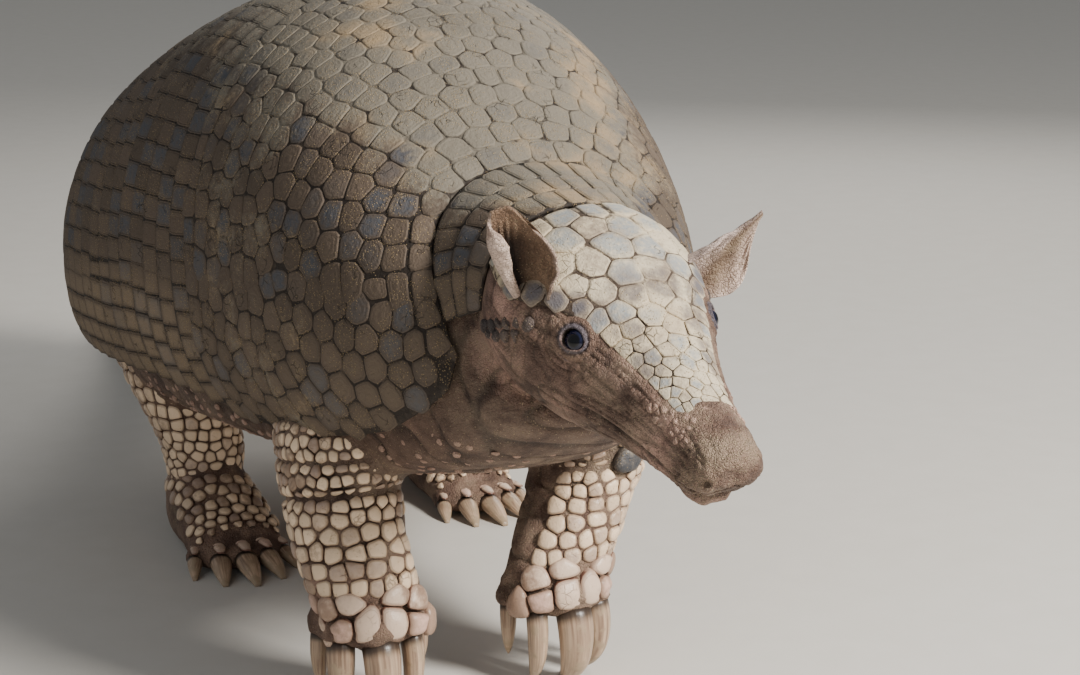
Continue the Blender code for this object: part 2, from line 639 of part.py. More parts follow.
# ---- the model --------------------------------------------------------------------------------------------
def make_materials():
    made = {}
    for name, (colour, roughness) in FINISHES.items():
        material = bpy.data.materials.new(name)
        material.use_nodes = True
        shader = material.node_tree.nodes["Principled BSDF"]
        shader.inputs["Base Color"].default_value = (*colour, 1.0)
        shader.inputs["Roughness"].default_value = roughness
        made[name] = material
    return made


for old in list(bpy.data.objects):
    bpy.data.objects.remove(old)
MATERIALS = make_materials()
MODEL = bpy.data.objects.new("armadillo", None)
bpy.context.scene.collection.objects.link(MODEL)
tube("trunk", trunk_rings(), "belly_skin")
make_carapace()
make_neck()
make_head()
for LABEL, SIDE in (("left", 1), ("right", -1)):
    make_front_limb(LABEL, SIDE)
    make_hind_limb(LABEL, SIDE)
make_tail()
MODEL.location.y = -MIDDLE_Y
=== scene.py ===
"""The dressed model of a life-size giant armadillo, with its floor, lights and camera.

Metres, +Z up. The animal faces -Y, its left side is +X and the floor is z = 0. Every form is a surface of two
parameters, worked out on a grid with numpy. The trunk and the head are runs of superelliptic rings, the limbs
and the tail are runs of oval rings, and each scute is a small domed plate whose outline is its share of the
surface among its neighbours.
"""

import logging
import math
from dataclasses import dataclass
from enum import Enum
from typing import Callable, Optional, Sequence, Union

import bmesh
import bpy
import numpy as np
from bpy.types import Material, Mesh, Node, NodeInputs, NodeSocket, NodeTree, Object
from mathutils import Matrix, Vector


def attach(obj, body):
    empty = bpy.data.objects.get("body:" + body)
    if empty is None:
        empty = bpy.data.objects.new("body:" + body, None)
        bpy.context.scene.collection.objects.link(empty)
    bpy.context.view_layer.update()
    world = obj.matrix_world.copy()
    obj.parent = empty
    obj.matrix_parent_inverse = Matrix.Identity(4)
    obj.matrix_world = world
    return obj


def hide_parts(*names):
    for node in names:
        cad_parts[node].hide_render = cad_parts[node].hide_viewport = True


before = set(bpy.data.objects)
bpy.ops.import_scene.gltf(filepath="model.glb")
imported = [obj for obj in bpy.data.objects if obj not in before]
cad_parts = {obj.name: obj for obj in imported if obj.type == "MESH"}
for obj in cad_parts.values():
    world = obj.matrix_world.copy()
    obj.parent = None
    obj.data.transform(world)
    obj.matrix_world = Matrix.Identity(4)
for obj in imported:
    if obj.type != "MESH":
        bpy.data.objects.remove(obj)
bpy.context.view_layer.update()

Array = np.ndarray
Solid = tuple[Array, list]      # points and faces
Surface = Callable[[Array, Array, Array], Array]
Socket = Union[NodeSocket, float, tuple]
LOG = logging.getLogger("armadillo")

# ---- sizes shared with the solids --------------------------------------------------------------------------
MOVE = np.array((0.0, -0.1502, 0.0))     # from over the back's middle to the outline's middle
PLATE, PLATE_STEP, UNDER_PLATE, FLANK_INSET = 0.0060, 0.0028, 0.0030, 0.0015
HEAD_PLATE, UNDER_HEAD_PLATE = 0.0030, 0.0018
BAND_COUNT, NECK_BANDS = 12, 3
TRUNK_RINGS = np.array([    # centre x, y, z, tilt in degrees, half width, height up, height down
    (-0.022, -0.375, 0.287, 34, 0.070, 0.066, 0.080), (-0.022, -0.350, 0.287, 30, 0.095, 0.090, 0.104),
    (-0.022, -0.300, 0.284, 22, 0.124, 0.124, 0.126), (-0.018, -0.220, 0.275, 12, 0.151, 0.160, 0.142),
    (-0.010, -0.100, 0.259, 5, 0.178, 0.190, 0.146), (-0.002, 0.030, 0.235, 2, 0.197, 0.200, 0.136),
    (0.000, 0.160, 0.214, 0, 0.198, 0.186, 0.122), (0.000, 0.270, 0.198, 2, 0.175, 0.159, 0.105),
    (0.000, 0.350, 0.186, 10, 0.128, 0.118, 0.083), (0.000, 0.395, 0.174, 22, 0.070, 0.066, 0.058)])
UPPER_POWER, LOWER_POWER = 2.15, 2.7
NECK_END, SHIELD_START, SHOULDER_END, BANDS_END, HIP_END = 0.50, 0.56, 3.75, 6.10, 8.70
EDGE_PLACES = (0.5, 1, 2, 3, 3.6, 4, 4.6, 6, 7, 8, 8.7)
EDGE_ANGLES = (110, 124, 133, 132, 128, 122, 118, 118, 120, 114, 98)
HEAD_LENGTH = 0.197
HEAD_RINGS = np.array([     # distance from the nape, half width, height up, height down
    (0, 0.053, 0.042, 0.044), (0.030, 0.061, 0.050, 0.049), (0.060, 0.060, 0.048, 0.049),
    (0.090, 0.049, 0.041, 0.045), (0.120, 0.0350, 0.033, 0.036), (0.150, 0.0260, 0.026, 0.028),
    (0.175, 0.0218, 0.0225, 0.0232), (0.190, 0.0200, 0.0210, 0.0212), (0.197, 0.0150, 0.0160, 0.0160)])
HEAD_START, THROAT, NECK_GAP = 0.012, 0.035, 0.0035
NAPE = np.array((-0.033, -0.388, 0.302))
HEAD_YAW, HEAD_PITCH, HEAD_ROLL = 4.5, 25.5, -2.0
HEAD_SHIELD_SPAN = (0.016, 0.158)
HEAD_SHIELD_EDGE = ((0.0, 0.045, 0.07, 0.09, 0.12, 0.16), (74, 74, 57, 48, 47, 42))
EYE_PLACE, EYE_ANGLE, EYE_RADIUS, EYE_SUNK = 0.090, 62, 0.0078, 0.0052
# directions are outward, forward and up; widths are the place along the ear, the inner and the outer half
EARS = {
    "left": {"place": 0.050, "angle": 66, "length": 0.0455, "bend": 0.014, "axis": (0.83, 0.12, 0.39),
             "opening": (0.45, 0.90), "roll": (0.0245, 0.0260), "back": 0.75, "drop": (0.05, 0.0),
             "widths": ((0.0, 0.0240, 0.0260), (0.25, 0.0285, 0.0240), (0.50, 0.0310, 0.0150),
                        (0.70, 0.0270, 0.0080), (0.86, 0.0155, 0.0050), (1.0, 0.0040, 0.0030))},
    "right": {"place": 0.050, "angle": 68, "length": 0.0640, "bend": 0.0, "axis": (0.36, 0.05, 0.93),
              "opening": (0.35, 0.94), "roll": (0.0120, 0.0200), "back": 0.60, "drop": (0.0, 0.27),
              "widths": ((0.0, 0.0050, 0.0140), (0.20, 0.0090, 0.0270), (0.45, 0.0130, 0.0330),
                         (0.70, 0.0160, 0.0310), (0.88, 0.0130, 0.0250), (1.0, 0.0060, 0.0080))},
}
TAIL_STATIONS = np.array([  # y, z, half width, half height
    (0.3962, 0.1745, 0.0620, 0.0545), (0.440, 0.140, 0.0510, 0.0460), (0.500, 0.104, 0.0410, 0.0380),
    (0.570, 0.072, 0.0330, 0.0320), (0.650, 0.045, 0.0255, 0.0245), (0.730, 0.0255, 0.0185, 0.0180),
    (0.810, 0.0122, 0.0118, 0.0120), (0.872, 0.0055, 0.0050, 0.0060)])
FRONT_LEG = np.array([      # centre x outward, y, z, half width, half depth
    (0.072, 0.036, 0.240, 0.034, 0.050), (0.088, 0.026, 0.205, 0.038, 0.054),
    (0.100, 0.015, 0.170, 0.040, 0.052), (0.106, 0.004, 0.138, 0.039, 0.046),
    (0.109, -0.006, 0.112, 0.037, 0.038), (0.108, -0.015, 0.092, 0.037, 0.033),
    (0.105, -0.021, 0.072, 0.035, 0.027), (0.102, -0.024, 0.058, 0.029, 0.021)])
HIND_LEG = np.array([       # the same for the hind leg
    (0.090, 0.120, 0.215, 0.060, 0.080), (0.116, 0.095, 0.175, 0.054, 0.066),
    (0.120, 0.068, 0.130, 0.043, 0.047), (0.113, 0.056, 0.092, 0.035, 0.036),
    (0.108, 0.052, 0.066, 0.032, 0.033), (0.108, 0.050, 0.040, 0.028, 0.030)])
SOLE_POWER = 0.35
HIND_FOOT = np.array([      # heel to toes: y, z of the centre, half width, height above it
    (0.088, 0.020, 0.014, 0.016), (0.076, 0.027, 0.026, 0.028), (0.050, 0.031, 0.033, 0.032),
    (0.015, 0.027, 0.036, 0.028), (-0.018, 0.020, 0.037, 0.021), (-0.040, 0.015, 0.034, 0.016)])
FRONT_FOOT_Y = {"left": -0.250, "right": -0.252}
HIND_FOOT_Y = {"left": 0.105, "right": 0.055}
FRONT_FOOT_SHIFT = {"left": (-0.086, 0.0), "right": (0.006, 0.0)}
FRONT_ROOT = {"left": (-0.026, 0.0), "right": (0.012, 0.016)}
# across, along, half width, length, claw's half width and half depth, reach, lean from, lean to, heading
FRONT_DIGITS = (
    (0.028, 0.008, 0.0090, 0.012, 0.0055, 0.0055, 0.74, 20, 40, 24),
    (0.017, -0.009, 0.0110, 0.014, 0.0070, 0.0080, 1.00, 24, 62, 10),
    (-0.005, -0.014, 0.0155, 0.016, 0.0118, 0.0112, 1.00, 30, 80, 0),
    (-0.025, -0.004, 0.0125, 0.014, 0.0090, 0.0088, 1.00, 22, 56, -18),
    (-0.032, 0.012, 0.0090, 0.012, 0.0058, 0.0056, 0.80, 16, 30, -36))
HIND_DIGITS = (             # across, along, half width, nail half width, nail half depth, nail length
    (0.029, -0.036, 0.0085, 0.0058, 0.0050, 0.018), (0.0145, -0.046, 0.0100, 0.0078, 0.0062, 0.026),
    (-0.002, -0.050, 0.0105, 0.0085, 0.0066, 0.029), (-0.0185, -0.045, 0.0100, 0.0078, 0.0062, 0.025),
    (-0.033, -0.032, 0.0085, 0.0056, 0.0048, 0.017))
GAP, FLAT, TOE_SPREAD = 0.0006, 0.0008, 500
SIDES = {"left": 1, "right": -1}
SLATE = (2.97, 2.985, 0.30, 0.34)       # place, angle and half sizes of the left elbow's dark scute
UP = np.array((0.0, 0.0, 1.0))
ACROSS_PLATE, LENGTH_SAMPLES = 97, 200  # grid columns over a plate, and points that a length is measured at
BASE_DEPTH = 0.55                       # how deep a plate lies under its scutes' outside, in scute heights
UNWRAP_EDGE = 0.002                     # margin of an unwrap inside its unit square
# lowest heights of the surfaces near the floor
LOWEST_SOLE, LOWEST_TAIL, LOWEST_TAIL_SCALE = 0.0003, 0.0002, 0.0021


# ---- number helpers ----------------------------------------------------------------------------------------
def curve_through(rows: Array) -> Callable[[Array], Array]:
    """A smooth function through the rows, one at each whole number.

    Each piece is a cubic whose end slopes are the mean differences of the neighbouring rows.

    Args:
        rows: Table with one row at each whole number.

    Returns:
        A function from a place to the values there.
    """
    rows = np.asarray(rows, float)
    slopes = np.gradient(rows, axis=0)

    def at(place: Array) -> Array:
        """The values at a place, held at the ends."""
        place = np.clip(np.asarray(place, float), 0, len(rows) - 1)
        low = np.minimum(place.astype(int), len(rows) - 2)
        part = (place - low)[..., None]
        square, cube = part ** 2, part ** 3
        return ((2 * cube - 3 * square + 1) * rows[low] + (cube - 2 * square + part) * slopes[low]
                + (3 * square - 2 * cube) * rows[low + 1] + (cube - square) * slopes[low + 1])
    return at


def smooth(low: float, high: float, value: Array) -> Array:
    """0 below low, 1 above high, and the cubic 3t^2 - 2t^3 between."""
    share = np.clip((value - low) / (high - low), 0, 1)
    return share * share * (3 - 2 * share)


def bump(value: Array, centre: float, width: float) -> Array:
    """A bell of height 1 at centre: exp(-((value - centre) / width)^2)."""
    return np.exp(-((value - centre) / width) ** 2)


def field(points: Array, size: float, seed: int = 0) -> Array:
    """A smooth random field from -1 to 1, with lumps of a given size.

    Hashed numbers stand at the corners of a cubic lattice, and each point blends the eight round it with the
    weights 3t^2 - 2t^3 along each axis.

    Args:
        points: Places, the last axis x, y, z.
        size: Edge of a lattice cell, in metres.
        seed: Picks another field.

    Returns:
        One value for each place.
    """
    scaled = points / size + np.array((13.7, 5.3, 9.1)) * (seed + 1)
    cell = np.floor(scaled).astype(np.int64)
    part = scaled - cell
    part = part * part * (3 - 2 * part)
    total = np.zeros(points.shape[:-1])
    for corner in np.ndindex(2, 2, 2):
        mark = (cell + np.array(corner)) @ np.array((73856093, 19349663, 83492791)) + seed * 2654435761
        mark = (mark ^ (mark >> 13)) * 1274126177
        mark = (mark ^ (mark >> 16)) & 0x7FFFFFFF
        weight = np.prod(np.where(corner, part, 1 - part), axis=-1)
        total += weight * (mark / 0x3FFFFFFF - 1)
    return total


def scatter(count: int, seed: int) -> Array:
    """Even random numbers from 0 to 1 that are the same at each run."""
    return np.random.default_rng(seed).random(count)


def grid(first: Array, second: Array) -> tuple[Array, Array]:
    """Two arrays over every pair of values, the first down the rows and the second across."""
    return np.meshgrid(first, second, indexing="ij")


def bearings(count: int) -> Array:
    """Even angles round a circle, from 0."""
    return np.linspace(0, 2 * math.pi, count, endpoint=False)


def wrapped(angle: Array) -> Array:
    """An angle brought between minus and plus half a turn."""
    return (angle + math.pi) % (2 * math.pi) - math.pi


def lengths_along(line: Array) -> Array:
    """The length of a line of points up to each of them."""
    return np.concatenate([[0], np.cumsum(np.linalg.norm(np.diff(line, axis=0), axis=1))])


def srgb(colour: tuple, share: float = 1.0) -> tuple:
    """A display colour, 0 to 255 a channel, as linear light times a share, with alpha 1."""
    parts = np.array(colour) / 255
    light = np.where(parts <= 0.04045, parts / 12.92, ((parts + 0.055) / 1.055) ** 2.4)
    return (*(light * share).tolist(), 1.0)


# ---- surfaces ----------------------------------------------------------------------------------------------
TRUNK_AT = curve_through(TRUNK_RINGS)
HEAD_AT = curve_through(HEAD_RINGS)
TAIL_AT = curve_through(TAIL_STATIONS)


def turned(degrees: float, axis: str) -> Matrix:
    """A turn about one axis."""
    return Matrix.Rotation(math.radians(degrees), 3, axis)


HEAD_TURN = np.array(turned(HEAD_YAW, "Z") @ turned(HEAD_PITCH, "X") @ turned(HEAD_ROLL, "Y"))


def superellipse(angle: Array, half: Array, up: Array, down: Array) -> tuple[Array, Array]:
    """A ring's outline: each axis is its reach times sin or cos to the power 2 / p, angle 0 at the crest."""
    power = np.where(np.cos(angle) >= 0, UPPER_POWER, LOWER_POWER)
    reach = np.where(np.cos(angle) >= 0, up, down)
    across = half * np.sign(np.sin(angle)) * np.abs(np.sin(angle)) ** (2 / power)
    return across, reach * np.sign(np.cos(angle)) * np.abs(np.cos(angle)) ** (2 / power)


def trunk_surface(place: Array, angle: Array, inset: Array) -> Array:
    """The carapace's surface at places along the rings, inset metres inside it."""
    x, y, z, tilt, half, up, down = np.moveaxis(TRUNK_AT(place), -1, 0)
    across, upward = superellipse(angle, half - inset, up - inset, down - inset)
    tilt = np.radians(tilt)
    return np.stack([x + across, y + upward * np.sin(tilt), z + upward * np.cos(tilt)], axis=-1) + MOVE


def edge_angle(place: Array) -> Array:
    """Half the angle that the carapace covers at a place."""
    return np.radians(np.interp(place, EDGE_PLACES, EDGE_ANGLES))


def flesh_inset(place: Array, angle: Array) -> Array:
    """How deep the flesh lies in the carapace's surface: deep under the plates, shallow below their edge."""
    below = smooth(0.12, 0.32, np.abs(angle) - edge_angle(place))
    return (PLATE + UNDER_PLATE) * (1 - below) + FLANK_INSET * below


def head_surface(distance: Array, angle: Array, inset: Array) -> Array:
    """The head's surface at distances from the nape, inset metres inside it."""
    place = np.interp(distance, HEAD_RINGS[:, 0], np.arange(len(HEAD_RINGS)))
    _, half, up, down = np.moveaxis(HEAD_AT(place), -1, 0)
    across, upward = superellipse(angle, half - inset, up - inset, down - inset)
    return np.stack([across, -distance, upward], axis=-1) @ HEAD_TURN.T + NAPE + MOVE


def head_edge_angle(distance: Array) -> Array:
    """Half the angle that the head shield covers at a distance from the nape."""
    return np.radians(np.interp(distance, *HEAD_SHIELD_EDGE))


def head_inset(distance: Array, angle: Array) -> Array:
    """How deep the head's skin lies in its outer surface: deep under the shield, rising round its edge."""
    under = 1 - smooth(-0.30, 0.04, np.abs(angle) - head_edge_angle(distance))
    along = 1 - smooth(HEAD_SHIELD_SPAN[1] - 0.012, HEAD_SHIELD_SPAN[1] + 0.002, distance)
    return (HEAD_PLATE + UNDER_HEAD_PLATE) * under * along


def head_start(angle: Array) -> Array:
    """How far from the nape the head begins: a line that leans back over the throat."""
    return HEAD_START + THROAT * ((1 - np.cos(angle)) / 2) ** 2


def neck_surface(share: Array, angle: Array, inset: Array) -> Array:
    """Straight lines from the head's first ring, share 0, to the trunk's first ring, share 1."""
    near = head_surface(head_start(angle) - NECK_GAP, angle, HEAD_PLATE + UNDER_HEAD_PLATE + inset)
    far = trunk_surface(np.full_like(share, NECK_END), angle, PLATE + UNDER_PLATE + inset)
    return near + (far - near) * share[..., None]


def tail_surface(place: Array, angle: Array, inset: Array) -> Array:
    """Oval rings square to the tail's own line, tilted at the root like the trunk's last ring."""
    y, z, half, high = np.moveaxis(TAIL_AT(place), -1, 0)
    ahead, behind = TAIL_AT(place + 0.02), TAIL_AT(place - 0.02)
    slope = np.arctan2(ahead[..., 1] - behind[..., 1], ahead[..., 0] - behind[..., 0])
    blend = np.clip(place / 2, 0, 1)
    slope = slope * blend - math.radians(TRUNK_RINGS[-1, 3]) * (1 - blend)
    upward = (high - inset) * np.cos(angle)
    return np.stack([(half - inset) * np.sin(angle), y - upward * np.sin(slope),
                     np.maximum(z + upward * np.cos(slope), LOWEST_TAIL)], axis=-1) + MOVE


def limb_surface(rows: Array, side: int, base_y: float, shift: tuple = (0.0, 0.0),
                 root: tuple = (0.0, 0.0)) -> Surface:
    """A limb's surface of level oval rings, leaning with the limb.

    Args:
        rows: Centre x, y, z, half width and half depth of each ring, top down.
        side: 1 for the animal's left and -1 for its right.
        base_y: The foot's own zero along the body.
        shift: How far the low end moves in x and y.
        root: How far the top moves in x and y.

    Returns:
        A surface of ring place, angle and inset.
    """
    x, y, z, half, deep = rows.T
    low = 1 - smooth(0.06, 0.20, z)
    x = x + shift[0] * low + root[0] * (1 - low)
    y = y + base_y + shift[1] * low + root[1] * (1 - low)
    at = curve_through(np.stack([side * x, y, z, half, deep, np.gradient(y, z)], axis=-1))

    def surface(place: Array, angle: Array, inset: Array) -> Array:
        """Points of the limb."""
        x, y, z, half, deep, slope = np.moveaxis(at(place), -1, 0)
        along = (deep - inset) * np.cos(angle)
        return np.stack([x + (half - inset) * np.sin(angle), y + along, z - 0.35 * slope * along],
                        axis=-1) + MOVE
    return surface


def hind_foot_surface(side: int, base_y: float) -> Surface:
    """The hind foot's surface: arched rings over a flat sole, heel to toes."""
    at = curve_through(HIND_FOOT)
    centre = side * HIND_LEG[-1, 0]

    def surface(place: Array, angle: Array, inset: Array) -> Array:
        """Points of the foot."""
        y, z, half, high = np.moveaxis(at(place), -1, 0)
        above = (high - inset) * np.cos(angle)
        below = -(z - LOWEST_SOLE) * np.abs(np.cos(angle)) ** SOLE_POWER
        return np.stack([centre + (half - inset) * np.sin(angle), base_y + y,
                         z + np.where(np.cos(angle) >= 0, above, below)], axis=-1) + MOVE
    return surface


def slopes_of(surface: Surface, first: Array, second: Array, inset: Array,
              steps: tuple = (1e-3, 1e-3)) -> tuple[Array, Array, Array]:
    """A surface's two slopes and its outward normal, by central differences.

    Args:
        surface: The surface.
        first: Its first parameter.
        second: Its second parameter, which runs clockwise seen from the first parameter's start.
        inset: Depth inside it.
        steps: Half differences for the two parameters.

    Returns:
        The change of place with each parameter, and the unit normal.
    """
    inset = np.broadcast_to(np.asarray(inset, float), np.shape(first))

    def change(a: float, b: float) -> Array:
        """The change of place with one parameter, whose half difference is a or b; the other one is 0."""
        return (surface(first + a, second + b, inset) - surface(first - a, second - b, inset)) / (2 * (a + b))
    du, dv = change(steps[0], 0), change(0, steps[1])
    normal = np.cross(dv, du)
    normal /= np.maximum(np.linalg.norm(normal, axis=-1, keepdims=True), 1e-12)
    rise = surface(first, second, inset - 2e-4) - surface(first, second, inset)
    facing = np.sign((rise * normal).sum(-1, keepdims=True))
    return du, dv, normal * np.where(facing == 0, 1, facing)


# ---- mesh helpers ------------------------------------------------------------------------------------------
def grid_faces(rows: int, columns: int, wrap: bool = False, start: int = 0) -> Array:
    """Four-cornered faces over a grid numbered row by row from start, closed across when wrap is set."""
    i, j = grid(np.arange(rows - 1), np.arange(columns if wrap else columns - 1))
    k = (j + 1) % columns
    return (start + np.stack([i * columns + j, i * columns + k, (i + 1) * columns + k, (i + 1) * columns + j],
                             axis=-1)).reshape(-1, 4)


def closed_tube(rings: Array) -> Solid:
    """Points and faces of a closed skin over rings (count, sides, 3), with a fan over each end."""
    count, sides = rings.shape[:2]
    points = np.vstack([rings.reshape(-1, 3), rings[0].mean(0), rings[-1].mean(0)])
    j = np.arange(sides)
    k = (j + 1) % sides
    last = (count - 1) * sides
    first_fan = np.stack([k, j, np.full(sides, count * sides)], axis=-1)
    last_fan = np.stack([last + j, last + k, np.full(sides, count * sides + 1)], axis=-1)
    return points, grid_faces(count, sides, True).tolist() + first_fan.tolist() + last_fan.tolist()


def closed_plate(outer: Array, inner: Array) -> Solid:
    """Points and faces of a closed plate between two grids (rows, columns, 3) of the same size."""
    rows, columns = outer.shape[:2]
    number = np.arange(rows * columns).reshape(rows, columns)
    rim = np.concatenate([number[:, 0], number[-1, 1:], number[-2::-1, -1], number[0, -2:0:-1]])
    nxt = np.roll(rim, -1)
    wall = np.stack([nxt, rim, rim + rows * columns, nxt + rows * columns], axis=-1)
    top = grid_faces(rows, columns)
    return (np.vstack([outer.reshape(-1, 3), inner.reshape(-1, 3)]),
            top[:, ::-1].tolist() + (top + rows * columns).tolist() + wall.tolist())


def merged(parts: Sequence[Solid]) -> Solid:
    """Several (points, faces) as one."""
    points, faces, start = [], [], 0
    for some, corners in parts:
        points.append(some)
        faces += [[c + start for c in face] for face in corners]
        start += len(some)
    return np.vstack(points), faces


def linked(name: str, data: bpy.types.ID) -> Object:
    """A new object of the scene."""
    item = bpy.data.objects.new(name, data)
    bpy.context.scene.collection.objects.link(item)
    return item


def write_marks(mesh: Mesh, marks: dict) -> None:
    """Stores named values, one a corner, that the finish reads."""
    for title, values in marks.items():
        mesh.attributes.new(title, "FLOAT", "POINT").data.foreach_set("value", np.asarray(values, np.float32))


def make_piece(name: str, points: Array, faces: list, material: Optional[Material] = None,
               marks: Optional[dict] = None, unwrap: Optional[Array] = None,
               outward: bool = True) -> Object:
    """A mesh object of the scene.

    Args:
        name: The piece's name.
        points: Its corners.
        faces: Lists of corner numbers.
        material: Its finish.
        marks: Named values, one a corner, that the finish reads.
        unwrap: A place in the unit square for each corner, kept as the map OFBake.
        outward: Whether the faces are turned outwards first.

    Returns:
        The object, at the origin.
    """
    mesh = bpy.data.meshes.new(name)
    mesh.from_pydata(points.tolist(), [], faces)
    if outward:
        shape = bmesh.new()
        shape.from_mesh(mesh)
        bmesh.ops.recalc_face_normals(shape, faces=shape.faces)
        shape.to_mesh(mesh)
        shape.free()
    mesh.shade_smooth()
    write_marks(mesh, marks or {})
    if unwrap is not None:
        corner = np.empty(len(mesh.loops), np.int32)
        mesh.loops.foreach_get("vertex_index", corner)
        mesh.uv_layers.new(name="OFBake").data.foreach_set("uv", unwrap[corner].astype(np.float32).ravel())
    if material:
        mesh.materials.append(material)
    return linked(name, mesh)


def place_piece(piece: Object, slot: str, *nodes: str) -> Object:
    """Gives a piece to the body and hides the solids it stands for."""
    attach(piece, "root")
    if nodes:
        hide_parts(*nodes)
    LOG.info("%s: %d faces", piece.name, len(piece.data.polygons))
    return piece


# ---- scutes ------------------------------------------------------------------------------------------------
class Dome(Enum):
    """How a scute rises from rim to middle: pairs of distance from the middle and share of its height."""
    FLAT = ((0.0, 1.0), (0.50, 0.99), (0.80, 0.96), (0.92, 0.88), (0.965, 0.64), (0.99, 0.20), (1.005, -1.0))
    PANEL = ((0.0, 1.0), (0.50, 0.99), (0.74, 0.95), (0.80, 0.88), (0.825, 0.64), (0.85, 0.84), (0.93, 0.80),
             (0.975, 0.45), (0.995, 0.10), (1.005, -1.0))
    CROWNED = ((0.0, 1.0), (0.45, 0.96), (0.72, 0.86), (0.88, 0.66), (0.955, 0.38), (0.985, 0.05),
               (1.01, -1.0))
    PEBBLE = ((0.0, 1.0), (0.35, 0.95), (0.62, 0.80), (0.82, 0.54), (0.94, 0.22), (1.0, -0.2), (1.03, -0.9))
    ROSETTE = ((0.0, 1.0), (0.26, 0.97), (0.36, 0.80), (0.47, 0.94), (0.62, 0.93), (0.70, 0.76), (0.79, 0.90),
               (0.92, 0.80), (0.975, 0.45), (0.995, 0.10), (1.005, -1.0))


@dataclass
class Seeds:
    """Where the scutes of one surface stand. Those marked as ghosts only shape their neighbours."""
    first: Array
    second: Array
    ghost: Array

    @staticmethod
    def joined(parts: Sequence["Seeds"]) -> "Seeds":
        """Several sets as one."""
        return Seeds(*(np.concatenate([getattr(p, name) for p in parts])
                       for name in ("first", "second", "ghost")))

    @staticmethod
    def fenced(first: Array, second: Array, ghost_first: Array, ghost_second: Array) -> "Seeds":
        """Seeds with ghosts round them."""
        places = np.concatenate([first, ghost_first])
        return Seeds(places, np.concatenate([second, ghost_second]), np.arange(len(places)) >= len(first))


NEIGHBOURS, FACING = 14, 0.05       # how many neighbours shape a scute, and the least cosine towards one
TINY, SMALLEST_REACH = 1e-6, 2e-4   # least divisor, and least distance from a scute's middle to its rim


